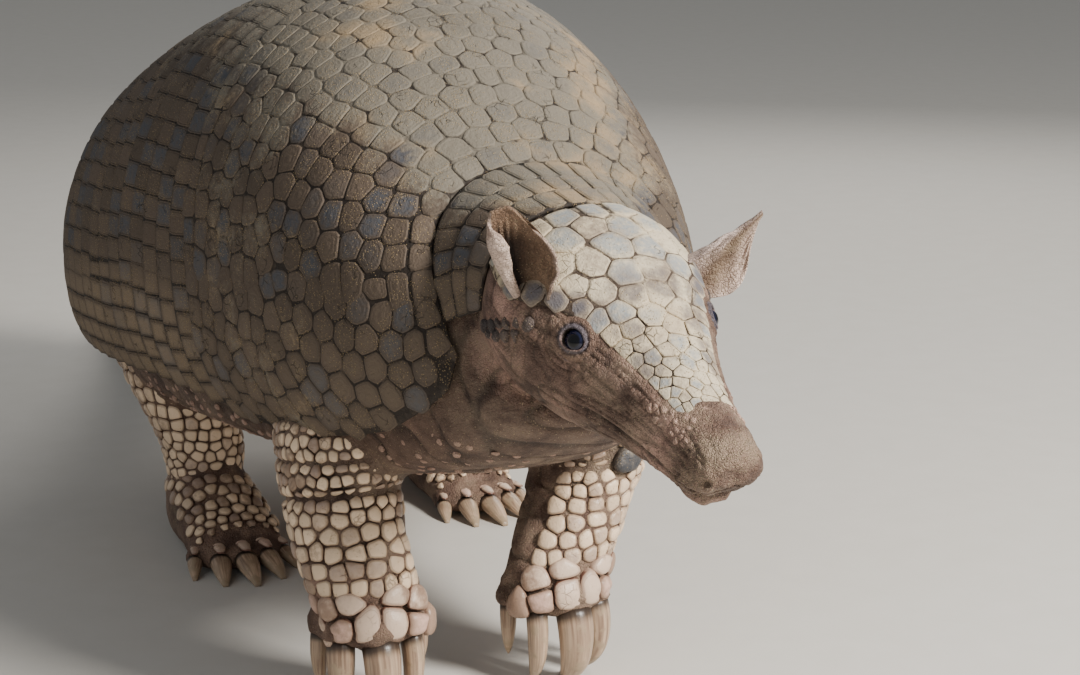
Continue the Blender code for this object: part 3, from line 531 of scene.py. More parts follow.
@dataclass
class ScuteField:
    """Scutes over a surface, each a domed plate that fills its share of the surface among its neighbours.

    The outline at each bearing is a soft minimum of the distances to the half-way lines to the
    neighbours, (sum of distance^-p)^(-1/p), less half the gap; a larger p gives sharper corners.

    Attributes:
        surface: The surface that they stand on.
        height: How high the largest stand over it.
        dome: Their profile.
        gap: Width of the crack between two.
        corner: The power p; a larger one gives sharper corners.
        sides: Points round each ring of a scute.
        cap: The longest reach from a scute's middle.
        inset: How deep in the surface their rims lie.
        uneven: Share of the height that varies at random.
        seed: Picks the random numbers.
    """
    surface: Surface
    height: float
    dome: Dome = Dome.CROWNED
    gap: float = 0.0009
    corner: float = 11.0
    sides: int = 16
    cap: float = 0.016
    inset: float = 0.0
    uneven: float = 0.15
    seed: int = 1

    def reach(self, spots: Array, centre: Array, across: Array, along: Array, turn: Array) -> Array:
        """How far each scute reaches at each bearing.

        Args:
            spots: Every seed's place.
            centre: The places of the seeds that are built.
            across: Unit vectors of the surface's second parameter there.
            along: Unit vectors square to them in the surface.
            turn: The bearings, from across towards along.

        Returns:
            A reach for each scute and bearing.
        """
        apart = ((centre[:, None] - spots[None]) ** 2).sum(-1)
        near = np.argsort(apart, axis=1)[:, 1:NEIGHBOURS + 1]
        offset = spots[near] - centre[:, None]
        a, b = (offset * across[:, None]).sum(-1), (offset * along[:, None]).sum(-1)
        far = np.maximum(np.hypot(a, b), TINY)
        toward = (a[..., None] * np.cos(turn) + b[..., None] * np.sin(turn)) / far[..., None]
        half_way = (far[..., None] - self.gap) / 2 / np.maximum(toward, FACING)
        limit = np.maximum(np.where(toward > FACING, half_way, 1.0), SMALLEST_REACH)
        return np.minimum(((limit ** -self.corner).sum(1)) ** (-1 / self.corner), self.cap)

    def faces(self, count: int, rings: int) -> list:
        """The faces of count scutes: a fan in the middle of each, and rings of four-cornered faces."""
        j = np.arange(self.sides)
        fan = np.stack([np.zeros_like(j), 1 + j, 1 + (j + 1) % self.sides], axis=-1)
        quads = grid_faces(rings, self.sides, True, 1)[:, ::-1]
        starts = (np.arange(count) * (1 + rings * self.sides))[:, None, None]
        return (fan + starts).reshape(-1, 3).tolist() + (quads + starts).reshape(-1, 4).tolist()

    def build(self, seeds: Seeds) -> tuple[Array, list, dict, Array]:
        """The scutes as one mesh.

        Args:
            seeds: Their places.

        Returns:
            Points, faces, values for the finish (rim: 0 in the middle to 1 at the edge; tone and cast: a
            random number for each scute), and each point's place on an unwrap of the surface.
        """
        real = ~seeds.ghost
        base = np.full(len(seeds.first), self.inset)
        spots = self.surface(seeds.first, seeds.second, base)
        first, second, flat = seeds.first[real], seeds.second[real], base[real]
        du, dv, _ = slopes_of(self.surface, first, second, flat)
        size_v = np.maximum(np.linalg.norm(dv, axis=-1), 1e-5)
        across = dv / size_v[:, None]
        along = du - across * (du * across).sum(-1, keepdims=True)
        size_u = np.maximum(np.linalg.norm(along, axis=-1), 1e-6)
        along /= size_u[:, None]
        centre = spots[real]
        turn = bearings(self.sides)
        reach = self.reach(spots, centre, across, along, turn)
        count = len(centre)
        rng = np.random.default_rng(self.seed)
        tone, cast = rng.random(count), rng.random(count)
        rise = 1 + self.uneven * (rng.random(count) - 0.5) * 2
        lean = (rng.random((count, 2)) - 0.5) * self.uneven
        rho, share = np.array(self.dome.value).T
        radius = rho[1:, None] * reach[:, None, :]                       # scute, ring, bearing
        step_a, step_b = radius * np.cos(turn), radius * np.sin(turn)
        skew = ((du * across).sum(-1) / size_u)[:, None, None]
        grid_u = first[:, None, None] + step_b / size_u[:, None, None]
        grid_v = second[:, None, None] + (step_a - step_b * skew) / size_v[:, None, None]
        grid_u = np.concatenate([first[:, None], grid_u.reshape(count, -1)], axis=1)
        grid_v = np.concatenate([second[:, None], grid_v.reshape(count, -1)], axis=1)
        ring = np.concatenate([[0], np.repeat(np.arange(1, len(rho)), self.sides)])
        bearing = np.concatenate([[0.0], np.tile(turn, len(rho) - 1)])
        small = np.minimum(1, reach.mean(1) / (self.cap * 0.6))
        up = self.height * (small * rise)[:, None] * share[ring]
        slant = lean[:, :1] * np.cos(bearing) + lean[:, 1:] * np.sin(bearing)
        up = up + self.height * rho[ring] * slant * (share[ring] > 0)
        ins = np.full_like(grid_u, self.inset)
        points = self.surface(grid_u, grid_v, ins)
        _, _, normal = slopes_of(self.surface, grid_u, grid_v, ins)
        points = points + normal * up[..., None]
        faces, body = self.faces(count, len(rho) - 1), len(ring)
        marks = {"rim": np.tile(rho[ring], count), "tone": np.repeat(tone, body),
                 "cast": np.repeat(cast, body)}
        low = np.array((grid_u.min(), grid_v.min()))
        span = np.array((grid_u.max(), grid_v.max())) - low
        spread = np.stack([grid_u, grid_v], axis=-1).reshape(-1, 2)
        unwrap = (spread - low) / span * (1 - 2 * UNWRAP_EDGE) + UNWRAP_EDGE
        return points.reshape(-1, 3), faces, marks, unwrap


CLOSE_SET = {"gap": 0.0003, "corner": 22.0}     # plates that nearly touch, with sharp corners


def ringed_seeds(surface: Surface, places: Array, edge: Callable[[Array], Array], pitch: Union[float, Array],
                 brick: float = 0.5, jitter: float = 0.0, seed: int = 3, ends: bool = True) -> Seeds:
    """Seeds in rows across a surface, evenly spaced along each row from edge to edge.

    A row's seeds stand half a pitch inside its edges, and one ghost stands half a pitch outside each. A ghost
    row lies before the first row and behind the last.

    Args:
        surface: The surface.
        places: The first parameter of each row.
        edge: Half the angle that a row covers, at a place; pi or more makes closed rings.
        pitch: Distance between the seeds of a row, one number or one a row.
        brick: How far each second row is moved along, in pitches.
        jitter: Random shift, in pitches.
        seed: Picks another scatter.
        ends: Whether ghost rows are added.

    Returns:
        The seeds.
    """
    rng = np.random.default_rng(seed)
    places = np.asarray(places, float)
    pitches = np.broadcast_to(np.asarray(pitch, float), places.shape)
    rows = [(p, q, False, n) for n, (p, q) in enumerate(zip(places, pitches))]
    if ends and len(places) > 1:
        rows.append((2 * places[0] - places[1], pitches[0], True, 1))
        rows.append((2 * places[-1] - places[-2], pitches[-1], True, len(places)))
    first, second, ghost = [], [], []
    for place, step, outside, number in rows:
        half = float(edge(np.array(place)))
        closed = half >= math.pi - 1e-6
        angles = np.linspace(-half, half, 181)
        line = surface(np.full_like(angles, place), angles, 0.0)
        length = lengths_along(line)
        count = max(3, int(round(length[-1] / step)))
        offset = (number % 2) * brick if brick < 1 else rng.random()
        if closed:
            spots = np.arange(count) + 0.5 + offset
        else:
            spots = np.arange(-1, count + 2) + 0.5 + (offset - 0.5 * (brick > 0))
        spots = spots + (rng.random(len(spots)) - 0.5) * jitter
        here = np.interp(spots * length[-1] / count, length, angles)
        span = length[-1] / count
        over, stride = spots * span, angles[1] - angles[0]
        here = np.where(over < 0, -half + over / max(length[1], 1e-6) * stride, here)
        beyond = over - length[-1]
        here = np.where(beyond > 0, half + beyond / max(length[-1] - length[-2], 1e-6) * stride, here)
        is_ghost = np.full(len(spots), outside)
        if not closed:
            is_ghost |= (spots < 0.2) | (spots > count - 0.2)
        shift = (rng.random(len(spots)) - 0.5) * jitter
        gaps = abs(places[1] - places[0]) if len(places) > 1 else 0.0
        first.append(place + shift * gaps)
        second.append(here)
        ghost.append(is_ghost)
    return Seeds(np.concatenate(first), np.concatenate(second), np.concatenate(ghost))


def band_seeds(surface: Surface, low: float, high: float, edge: Callable[[Array], Array], pitch: float,
               jitter: float, seed: int) -> Seeds:
    """One row of seeds along the middle of a band, with ghosts square to it a band's width ahead and behind.

    The ghosts' angle is moved by minus the width times (du . dv) / (dv . dv), which makes the step square to
    the row.
    """
    line = ringed_seeds(surface, np.array(((low + high) / 2,)), edge, pitch, 0.0, jitter, seed, ends=False)
    du, dv, _ = slopes_of(surface, line.first, line.second, 0.0)
    skew = (du * dv).sum(-1) / (dv * dv).sum(-1)
    width = high - low
    sides = [Seeds(line.first + way * width, line.second - way * width * skew, np.ones(len(line.first), bool))
             for way in (-1, 1)]
    return Seeds.joined([line] + sides)


# ---- materials ---------------------------------------------------------------------------------------------
class Bench:
    """Wires the nodes of one material or node group."""

    def __init__(self, tree: NodeTree) -> None:
        """Takes an empty or cleared tree."""
        self.tree = tree

    def node(self, kind: str, feeds: Optional[dict] = None, **settings: object) -> Node:
        """A node with its settings, and its inputs linked or set by name or number."""
        made = self.tree.nodes.new(kind)
        for name, value in settings.items():
            setattr(made, name, value)
        for key, value in (feeds or {}).items():
            self.feed(made.inputs[key], value)
        return made

    def feed(self, socket: NodeSocket, value: Socket) -> None:
        """Links a socket, or sets its number or colour."""
        if isinstance(value, NodeSocket):
            self.tree.links.new(value, socket)
        else:
            socket.default_value = value

    def math(self, operation: str, *values: Socket, clamp: bool = False) -> NodeSocket:
        """One Math node."""
        made = self.node("ShaderNodeMath", dict(enumerate(values)), operation=operation, use_clamp=clamp)
        return made.outputs[0]

    def plus(self, first: Socket, second: Socket, clamp: bool = False) -> NodeSocket:
        """A sum."""
        return self.math("ADD", first, second, clamp=clamp)

    def less(self, first: Socket, second: Socket) -> NodeSocket:
        """A difference."""
        return self.math("SUBTRACT", first, second)

    def times(self, first: Socket, *others: Socket) -> NodeSocket:
        """A product."""
        for other in others:
            first = self.math("MULTIPLY", first, other)
        return first

    def sway(self, value: Socket, amount: float) -> NodeSocket:
        """How far a value is from a half, times an amount."""
        return self.times(self.less(value, 0.5), amount)

    def blend(self, share: Socket, first: Socket, second: Socket) -> NodeSocket:
        """Two colours mixed by a share."""
        return self.node("ShaderNodeMix", {0: share, 6: first, 7: second}, data_type="RGBA",
                         blend_type="MIX", clamp_factor=True).outputs[2]

    def layered(self, colour: Socket, *layers: tuple) -> NodeSocket:
        """A colour with others laid over it in turn, each layer a share and a colour."""
        for share, tint in layers:
            colour = self.blend(share, colour, tint)
        return colour

    def range(self, value: Socket, low: float, high: float, to_low: float = 0.0,
              to_high: float = 1.0) -> NodeSocket:
        """A value carried smoothly from one span to another and held at its ends."""
        made = self.node("ShaderNodeMapRange", {0: value, 1: low, 2: high, 3: to_low, 4: to_high},
                         interpolation_type="SMOOTHSTEP")
        return made.outputs[0]

    def mark(self, name: str) -> NodeSocket:
        """A value that the mesh carries."""
        return self.node("ShaderNodeAttribute", attribute_name=name).outputs["Fac"]

    def place(self) -> NodeSocket:
        """The point's own place on the model, in metres."""
        return self.node("ShaderNodeTexCoord").outputs["Object"]

    def cloud(self, vector: Socket, scale: float, detail: float = 3.0,
              rough: float = 0.55) -> NodeSocket:
        """Soft noise, about 0.5."""
        feeds = {"Vector": vector, "Scale": scale, "Detail": detail, "Roughness": rough}
        return self.node("ShaderNodeTexNoise", feeds).outputs[0]

    def cells(self, vector: Socket, scale: Socket, **settings: object) -> Node:
        """Uneven cells with their distances and colours."""
        return self.node("ShaderNodeTexVoronoi", {"Vector": vector, "Scale": scale}, **settings)

    def effect(self, tree: NodeTree, **feeds: Socket) -> Node:
        """A shared effect, with its inputs fed by name."""
        return self.node("ShaderNodeGroup", feeds, node_tree=tree)

    def done(self, shader: Node, colour: Socket, height: Optional[Socket] = None,
             distance: float = 0.0) -> None:
        """Gives the shader its colour, and raises its surface by a height, in metres for a height of 1."""
        self.feed(shader.inputs["Base Color"], colour)
        if height is not None:
            raised = self.node("ShaderNodeBump", {"Height": height, "Distance": distance, "Strength": 1.0})
            self.feed(shader.inputs["Normal"], raised.outputs[0])


class Effects:
    """The shared effects, each a node group that is made once."""

    made: dict = {}

    @classmethod
    def group(cls, name: str, inputs: dict, outputs: Sequence[str],
              wire: Callable[[Bench, NodeInputs], dict]) -> NodeTree:
        """A node group, made at its first use.

        Args:
            name: Its name.
            inputs: Each input's default; None is a vector without one.
            outputs: The names of its outputs, all numbers.
            wire: Builds the inside and returns the socket for each output's name.

        Returns:
            The group.
        """
        if name in cls.made:
            return cls.made[name]
        tree = bpy.data.node_groups.new(name, "ShaderNodeTree")
        for title, default in inputs.items():
            kind = "NodeSocketFloat" if isinstance(default, float) else "NodeSocketVector"
            socket = tree.interface.new_socket(title, in_out="INPUT", socket_type=kind)
            if default is not None:
                socket.default_value = default
        for title in outputs:
            tree.interface.new_socket(title, in_out="OUTPUT", socket_type="NodeSocketFloat")
        start, end = tree.nodes.new("NodeGroupInput"), tree.nodes.new("NodeGroupOutput")
        for title, socket in wire(Bench(tree), start.outputs).items():
            tree.links.new(socket, end.inputs[title])
        cls.made[name] = tree
        return tree

    @classmethod
    def grains(cls) -> NodeTree:
        """Grains of sand stuck on in patches: a mask and a height."""
        def wire(bench: Bench, source: NodeInputs) -> dict:
            """Small cells, kept where their own random number is over 1 less the amount."""
            cells = bench.cells(source["Vector"], source["Scale"])
            number = bench.node("ShaderNodeSeparateColor", {0: cells.outputs["Color"]}).outputs[0]
            keep = bench.math("GREATER_THAN", number, bench.less(1.0, source["Amount"]))
            mask = bench.times(bench.range(cells.outputs["Distance"], 0.42, 0.18), keep)
            return {"Mask": mask, "Height": mask}
        return cls.group("sand_grains", {"Vector": None, "Scale": 900.0, "Amount": 0.3}, ("Mask", "Height"),
                         wire)

    @classmethod
    def crackle(cls) -> NodeTree:
        """Fine cracks round small uneven cells: a mask, 1 in the crack."""
        def wire(bench: Bench, source: NodeInputs) -> dict:
            """Distance to the nearest cell edge on a warped vector."""
            feeds = {"Vector": source["Vector"], "Scale": source["Scale"], "Detail": 2.0}
            warp = bench.node("ShaderNodeTexNoise", feeds)
            bent = bench.node("ShaderNodeVectorMath", {0: warp.outputs["Color"], 1: source["Warp"]},
                              operation="MULTIPLY").outputs[0]
            vector = bench.node("ShaderNodeVectorMath", {0: source["Vector"], 1: bent},
                                operation="ADD").outputs[0]
            cells = bench.cells(vector, source["Scale"], feature="DISTANCE_TO_EDGE")
            return {"Mask": bench.range(cells.outputs["Distance"], 0.05, 0.0)}
        return cls.group("fine_cracks", {"Vector": None, "Scale": 120.0, "Warp": (0.004, 0.004, 0.004)},
                         ("Mask",), wire)

    @classmethod
    def leather(cls) -> NodeTree:
        """The small lozenges and pores of bare skin: a height."""
        def wire(bench: Bench, source: NodeInputs) -> dict:
            """Cell edges at two scales, 0.6 of the coarse one and 0.4 of the fine one."""
            parts = []
            for finer, share in ((1.0, 0.6), (2.3, 0.4)):
                cells = bench.cells(source["Vector"], bench.times(source["Scale"], finer),
                                    feature="DISTANCE_TO_EDGE")
                parts.append(bench.times(bench.range(cells.outputs["Distance"], 0.0, 0.22), share))
            return {"Height": bench.plus(*parts)}
        return cls.group("leather_grain", {"Vector": None, "Scale": 400.0}, ("Height",), wire)


def fresh_material(name: str, roughness: float, specular: float = 0.5, coat: float = 0.0,
                   coat_roughness: float = 0.1) -> tuple[Material, Bench, Node]:
    """An empty material with its shader's constant numbers set.

    Args:
        name: Its name.
        roughness: Roughness of the surface.
        specular: Specular level.
        coat: Weight of a clear coat.
        coat_roughness: The coat's roughness.

    Returns:
        The material, its bench and its shader.
    """
    material = bpy.data.materials.new(name)
    material.use_nodes = True
    shader = material.node_tree.nodes["Principled BSDF"]
    for title, value in (("Roughness", roughness), ("Specular IOR Level", specular), ("Coat Weight", coat),
                         ("Coat Roughness", coat_roughness)):
        shader.inputs[title].default_value = value
    return material, Bench(material.node_tree), shader


DRY_CLAY, SHELL_SAND, SKIN_SAND = (166, 140, 104), (184, 158, 116), (190, 168, 136)     # display colours


@dataclass(frozen=True)
class ScuteFinish:
    """Horny scutes dusted with clay: a clean colour, clay over it, a tint in some middles, dark cracks.

    The colours are display colours, 0 to 255 a channel. The shares say how much of the clay, of the tint and
    of the grains of sand lies on a scute.
    """
    name: str
    clean: tuple
    clay: tuple
    tint: tuple
    crack: tuple
    clay_share: float
    tint_share: float
    grain_share: float
    roughness: float = 0.72
    pale: tuple = (188, 170, 149)
    rim: float = 0.0
    relief: float = 0.0009
    vary: float = 0.0
    tint_over: float = 1.0
    sandy: float = 0.0

    def material(self) -> Material:
        """The finish as a material."""
        material, bench, shader = fresh_material(self.name, self.roughness, specular=0.35)
        where, rim, cast = bench.place(), bench.mark("rim"), bench.mark("cast")
        clouds = ((11, 5, 0.65), (38, 5, 0.62), (260, 4, 0.6))      # scale, detail and roughness of each
        patch, shade, fine = (bench.cloud(where, *cloud) for cloud in clouds)
        # the clay cover follows the mesh's dust mark, which on the shell and the legs also holds painted
        # light and shade
        cover = self.cover(bench, cast, shade, fine)
        crack = srgb(self.crack)
        clean = bench.layered(
            srgb(self.clean), (bench.times(bench.mark("tone"), 0.60), srgb(self.clean, 0.55)),
            (bench.times(bench.range(rim, 0.70, 1.0), self.rim), crack))
        clay = bench.layered(
            srgb(self.clay), (bench.range(patch, 0.50, 0.66, 0.0, self.sandy), srgb(DRY_CLAY)),
            (bench.range(patch, 0.46, 0.34, 0.0, 0.4), srgb(self.clay, 0.62)))
        spot = bench.times(bench.range(cast, 1 - self.tint_share, 1.0 - self.tint_share * 0.4),
                           bench.range(bench.plus(rim, bench.sway(shade, 0.9)), 1.10, 0.45),
                           bench.range(cover, 0.0, 1.0, 1.0, self.tint_over),
                           bench.range(fine, 0.75, 0.35, 0.25, 0.85))
        middle = bench.range(bench.plus(rim, bench.times(fine, 0.5)), 1.25, 0.65, 0.10, 0.85)
        cracks = bench.effect(Effects.crackle(), Vector=where, Scale=150.0).outputs["Mask"]
        broken = bench.times(cracks, bench.range(bench.cloud(where, 60, 2), 0.56, 0.70))
        edge = bench.range(bench.plus(rim, bench.sway(fine, 0.08)), 0.955, 1.0)
        open_crack = bench.range(bench.plus(bench.cloud(where, 70, 3), bench.times(cover, -0.16)), 0.28, 0.46)
        inner = bench.times(bench.range(rim, 0.80, 0.825), bench.range(rim, 0.855, 0.83),
                            bench.range(cover, 1.2, 0.2))
        grains = bench.effect(Effects.grains(), Vector=where, Scale=850.0,
                              Amount=bench.times(bench.range(shade, 0.40, 0.62), self.grain_share)).outputs
        colour = bench.layered(
            clean, (cover, clay), (spot, srgb(self.tint)),
            (bench.times(bench.mark("pale"), middle), srgb(self.pale)),
            (bench.times(broken, 0.45), crack), (bench.times(edge, open_crack), crack),
            (bench.times(inner, 0.35), crack), (bench.times(grains["Mask"], 0.6), srgb(SHELL_SAND)))
        height = bench.less(bench.times(fine, 0.6), bench.times(broken, 0.9))
        height = bench.plus(height, bench.times(grains["Height"], 0.5))
        height = bench.plus(height, bench.times(bench.cloud(where, 800, 2), 0.6))
        bench.done(shader, colour, height, self.relief)
        return material

    def cover(self, bench: Bench, cast: Socket, shade: Socket, fine: Socket) -> NodeSocket:
        """How much clay lies at a point, 0 to 1: the mesh's mark of dust and painted shade, two clouds and
        the scute's own number.
        """
        dusty = bench.plus(bench.times(bench.mark("dust"), self.clay_share), bench.sway(shade, 1.3))
        dusty = bench.plus(dusty, bench.sway(fine, 0.7), clamp=True)
        return bench.range(bench.plus(dusty, bench.sway(cast, self.vary)), 0.25, 0.75)


@dataclass(frozen=True)
class SkinFinish:
    """Bare leathery skin: two browns in clouds, pink where the mesh says so, and the grain's lozenges."""
    name: str
    deep: tuple
    light: tuple
    pink: tuple
    dark: tuple
    roughness: float = 0.62
    cool: tuple = (88, 84, 94)
    dust: tuple = (146, 130, 110)

    def material(self) -> Material:
        """The finish as a material."""
        material, bench, shader = fresh_material(self.name, self.roughness, specular=0.4)
        where = bench.place()
        shade, fine = bench.cloud(where, 45, 5, 0.6), bench.cloud(where, 300, 4, 0.6)
        grain = bench.effect(Effects.leather(), Vector=where, Scale=420.0).outputs["Height"]
        grains = bench.effect(Effects.grains(), Vector=where, Scale=800.0,
                              Amount=bench.times(bench.mark("sand"), bench.range(shade, 0.35, 0.6))).outputs
        dusty = bench.range(bench.plus(shade, bench.times(fine, 0.4)), 0.55, 0.95)
        # the dark mark's layer lays painted shade, and the pink mark's layer also carries the painted
        # highlight on the cheek's ridges
        colour = bench.layered(
            srgb(self.deep), (bench.range(shade, 0.32, 0.68), srgb(self.light)),
            (bench.times(bench.mark("pink"), bench.range(shade, 0.25, 0.6)), srgb(self.pink)),
            (bench.mark("cool"), srgb(self.cool)), (bench.mark("dark"), srgb(self.dark)),
            (bench.times(bench.range(grain, 0.45, 0.05), 0.45), srgb(self.dark)),
            (bench.times(bench.mark("dust"), dusty), srgb(self.dust)),
            (bench.times(grains["Mask"], 0.8), srgb(SKIN_SAND)))
        height = bench.plus(bench.times(grain, 0.55), bench.times(fine, 0.4))
        bench.done(shader, colour, bench.plus(height, grains["Height"]), 0.0012)
        return material


@dataclass(frozen=True)
class HornFinish:
    """Claw horn: streaks along the claw, pale at the tip, dark at the root, with clay in the scratches."""
    name: str
    deep: tuple
    pale: tuple
    clay: tuple
    roughness: float = 0.42
    root: tuple = (38, 28, 22)

    def material(self) -> Material:
        """The finish as a material."""
        material, bench, shader = fresh_material(self.name, self.roughness, specular=0.5)
        along = bench.mark("along")
        lines = bench.node("ShaderNodeCombineXYZ", {0: bench.times(bench.mark("around"), 9.0),
                                                    1: bench.times(along, 0.9), 2: bench.mark("tone")})
        streak = bench.cloud(lines.outputs[0], 1.4, 4, 0.5)
        spots = bench.cloud(bench.place(), 120, 4, 0.6)
        colour = bench.layered(
            srgb(self.deep),
            (bench.range(bench.plus(streak, bench.times(along, 0.18)), 0.30, 0.80), srgb(self.pale)),
            (bench.range(bench.plus(spots, bench.times(along, 0.12)), 0.52, 0.68), srgb(self.clay)),
            (bench.range(along, 0.10, 0.0), srgb(self.root)))
        bench.done(shader, colour, bench.plus(bench.times(streak, 0.5), bench.times(spots, 0.6)), 0.0005)
        return material


@dataclass(frozen=True)
class EyeFinish:
    """The wet eye: a black pupil in a dark blue-brown iris, under a clear gloss."""
    name: str
    pupil: tuple
    iris: tuple
    rim: tuple

    def material(self) -> Material:
        """The finish as a material."""
        material, bench, shader = fresh_material(self.name, 0.15, 0.2, coat=0.55, coat_roughness=0.01)
        out = bench.mark("out")
        spokes = bench.range(bench.cloud(bench.place(), 900, 3), 0.3, 0.7)
        iris = bench.blend(spokes, srgb(self.iris), srgb(self.iris, 0.5))
        bench.done(shader, bench.layered(srgb(self.pupil), (bench.range(out, 0.40, 0.50), iris),
                                         (bench.range(out, 0.72, 0.86), srgb(self.rim))))
        return material


FINISHES = {
    "shell": ScuteFinish("shell_scute", clean=(92, 79, 67), clay=(114, 107, 95), tint=(70, 74, 81),
                         crack=(40, 33, 28), clay_share=0.95, tint_share=0.34, grain_share=0.75,
                         pale=(138, 120, 98), tint_over=0.35, sandy=0.65),
    "head": ScuteFinish("head_scute_clay", clean=(150, 134, 116), clay=(200, 186, 160), tint=(142, 148, 150),
                        crack=(64, 52, 43), clay_share=1.0, tint_share=0.50, grain_share=0.40,
                        pale=(94, 92, 98), sandy=0.35),
    "leg": ScuteFinish("leg_pebble", clean=(236, 208, 176), clay=(148, 124, 104), tint=(166, 144, 130),
                       crack=(92, 66, 52), clay_share=0.85, tint_share=0.32, grain_share=0.20, roughness=0.30,
                       rim=0.55, relief=0.0006, vary=0.9),
    "knuckle": ScuteFinish("split_scute", clean=(226, 199, 176), clay=(150, 124, 106), tint=(208, 172, 156),
                           crack=(104, 72, 60), clay_share=0.9, tint_share=0.35, grain_share=0.10,
                           roughness=0.34, rim=0.45, relief=0.0004, vary=0.5),
    "slate": ScuteFinish("slate_scute", clean=(66, 64, 64), clay=(122, 112, 100), tint=(56, 58, 64),
                         crack=(40, 35, 33), clay_share=0.8, tint_share=0.45, grain_share=0.15, roughness=0.4,
                         relief=0.0011),
    "tail": ScuteFinish("tail_scale_dark", clean=(104, 88, 72), clay=(146, 128, 100), tint=(84, 84, 86),
                        crack=(44, 34, 28), clay_share=0.6, tint_share=0.30, grain_share=0.30),
    "hide": SkinFinish("hide", deep=(92, 70, 59), light=(142, 114, 97), pink=(196, 154, 138),
                       dark=(46, 33, 28)),
    "ear": SkinFinish("ear_skin", deep=(102, 78, 60), light=(150, 122, 98), pink=(232, 206, 192),
                      dark=(34, 24, 20)),
    "bump": SkinFinish("snout_bump_skin", deep=(146, 116, 100), light=(184, 152, 134), pink=(196, 160, 144),
                       dark=(84, 60, 50), roughness=0.5),
    "wart": SkinFinish("neck_wart_skin", deep=(50, 44, 45), light=(78, 68, 66), pink=(96, 82, 78),
                       dark=(32, 26, 26), roughness=0.5),
    "horn": HornFinish("claw_horn_streaked", deep=(122, 98, 80), pale=(190, 164, 138), clay=(156, 136, 112),
                       roughness=0.36),
    "eye": EyeFinish("wet_eye", pupil=(3, 3, 6), iris=(20, 23, 46), rim=(8, 7, 10)),
}


# ---- the carapace ------------------------------------------------------------------------------------------
def even_places(surface: Surface, low: float, high: float, count: int, angle: float) -> Array:
    """Middles of count equal steps along a surface, measured at one angle.

    Args:
        surface: The surface.
        low: First place.
        high: Last place.
        count: Number of steps.
        angle: Where round the body the length is measured.

    Returns:
        The places.
    """
    places = np.linspace(low, high, LENGTH_SAMPLES)
    line = surface(places, np.full_like(places, angle), 0.0)
    length = lengths_along(line)
    return np.interp((np.arange(count) + 0.5) / count * length[-1], length, places)


def lay_scutes(name: str, scutes: ScuteField, seeds: Seeds, material: Material,
               base: Optional[Solid] = None, extra_marks: Optional[Callable[[Array, Array], dict]] = None
               ) -> Object:
    """One piece of scutes, with the plate that they stand on when there is one.

    Args:
        name: The piece's name.
        scutes: Their shape.
        seeds: Their places.
        material: Their finish.
        base: Points and faces of the plate under them.
        extra_marks: Gives more values for the finish from the points and their unwrap, such as dust and
            painted shade.

    Returns:
        The piece.
    """
    points, faces, marks, unwrap = scutes.build(seeds)
    if base:
        extra = len(base[0])
        points, faces = merged([(points, faces), base])
        marks = {key: np.concatenate([value, np.full(extra, 1.0 if key == "rim" else 0.5)])
                 for key, value in marks.items()}
        flat = np.tile(np.array((0.999, 0.999)), (extra, 1)) - scatter(extra * 2, 5).reshape(-1, 2) * 0.001
        unwrap = np.vstack([unwrap, flat])
    marks.update(extra_marks(points, unwrap) if extra_marks else {"dust": np.full(len(points), 0.5)})
    return make_piece(name, points, faces, material, marks, unwrap)


def shell_marks(points: Array, _: Array) -> dict:
    """How dusty and how pale the carapace is.

    Dust lies most on the crown, the shoulders and the nape; the same mark also paints light, lighter on the
    top and front and darker down the flanks as painted shade. A pale stripe runs along the lower edge,
    strongest over the bands and the hip.
    """
    place, angle = Skin.trunk_place(points)
    top = 1 - smooth(0.35, 1.15, np.abs(angle))
    front = smooth(-0.16, -0.46, points[:, 1])
    # real dust on top plus painted light: lighter on the crown and front, darker down the flanks as painted
    # shade
    dust = np.clip(0.08 + 0.72 * top + 0.34 * front * (0.3 + 0.7 * top) + 0.22 * field(points, 0.10, 4)
                   + 0.12 * field(points, 0.03, 9), 0, 1)
    rim = smooth(0.62, 0.30, edge_angle(place) - np.abs(angle)) * (0.22 + 0.78 * smooth(3.4, 4.4, place))
    return {"dust": dust, "pale": rim * (0.8 + 0.3 * field(points, 0.05, 8))}


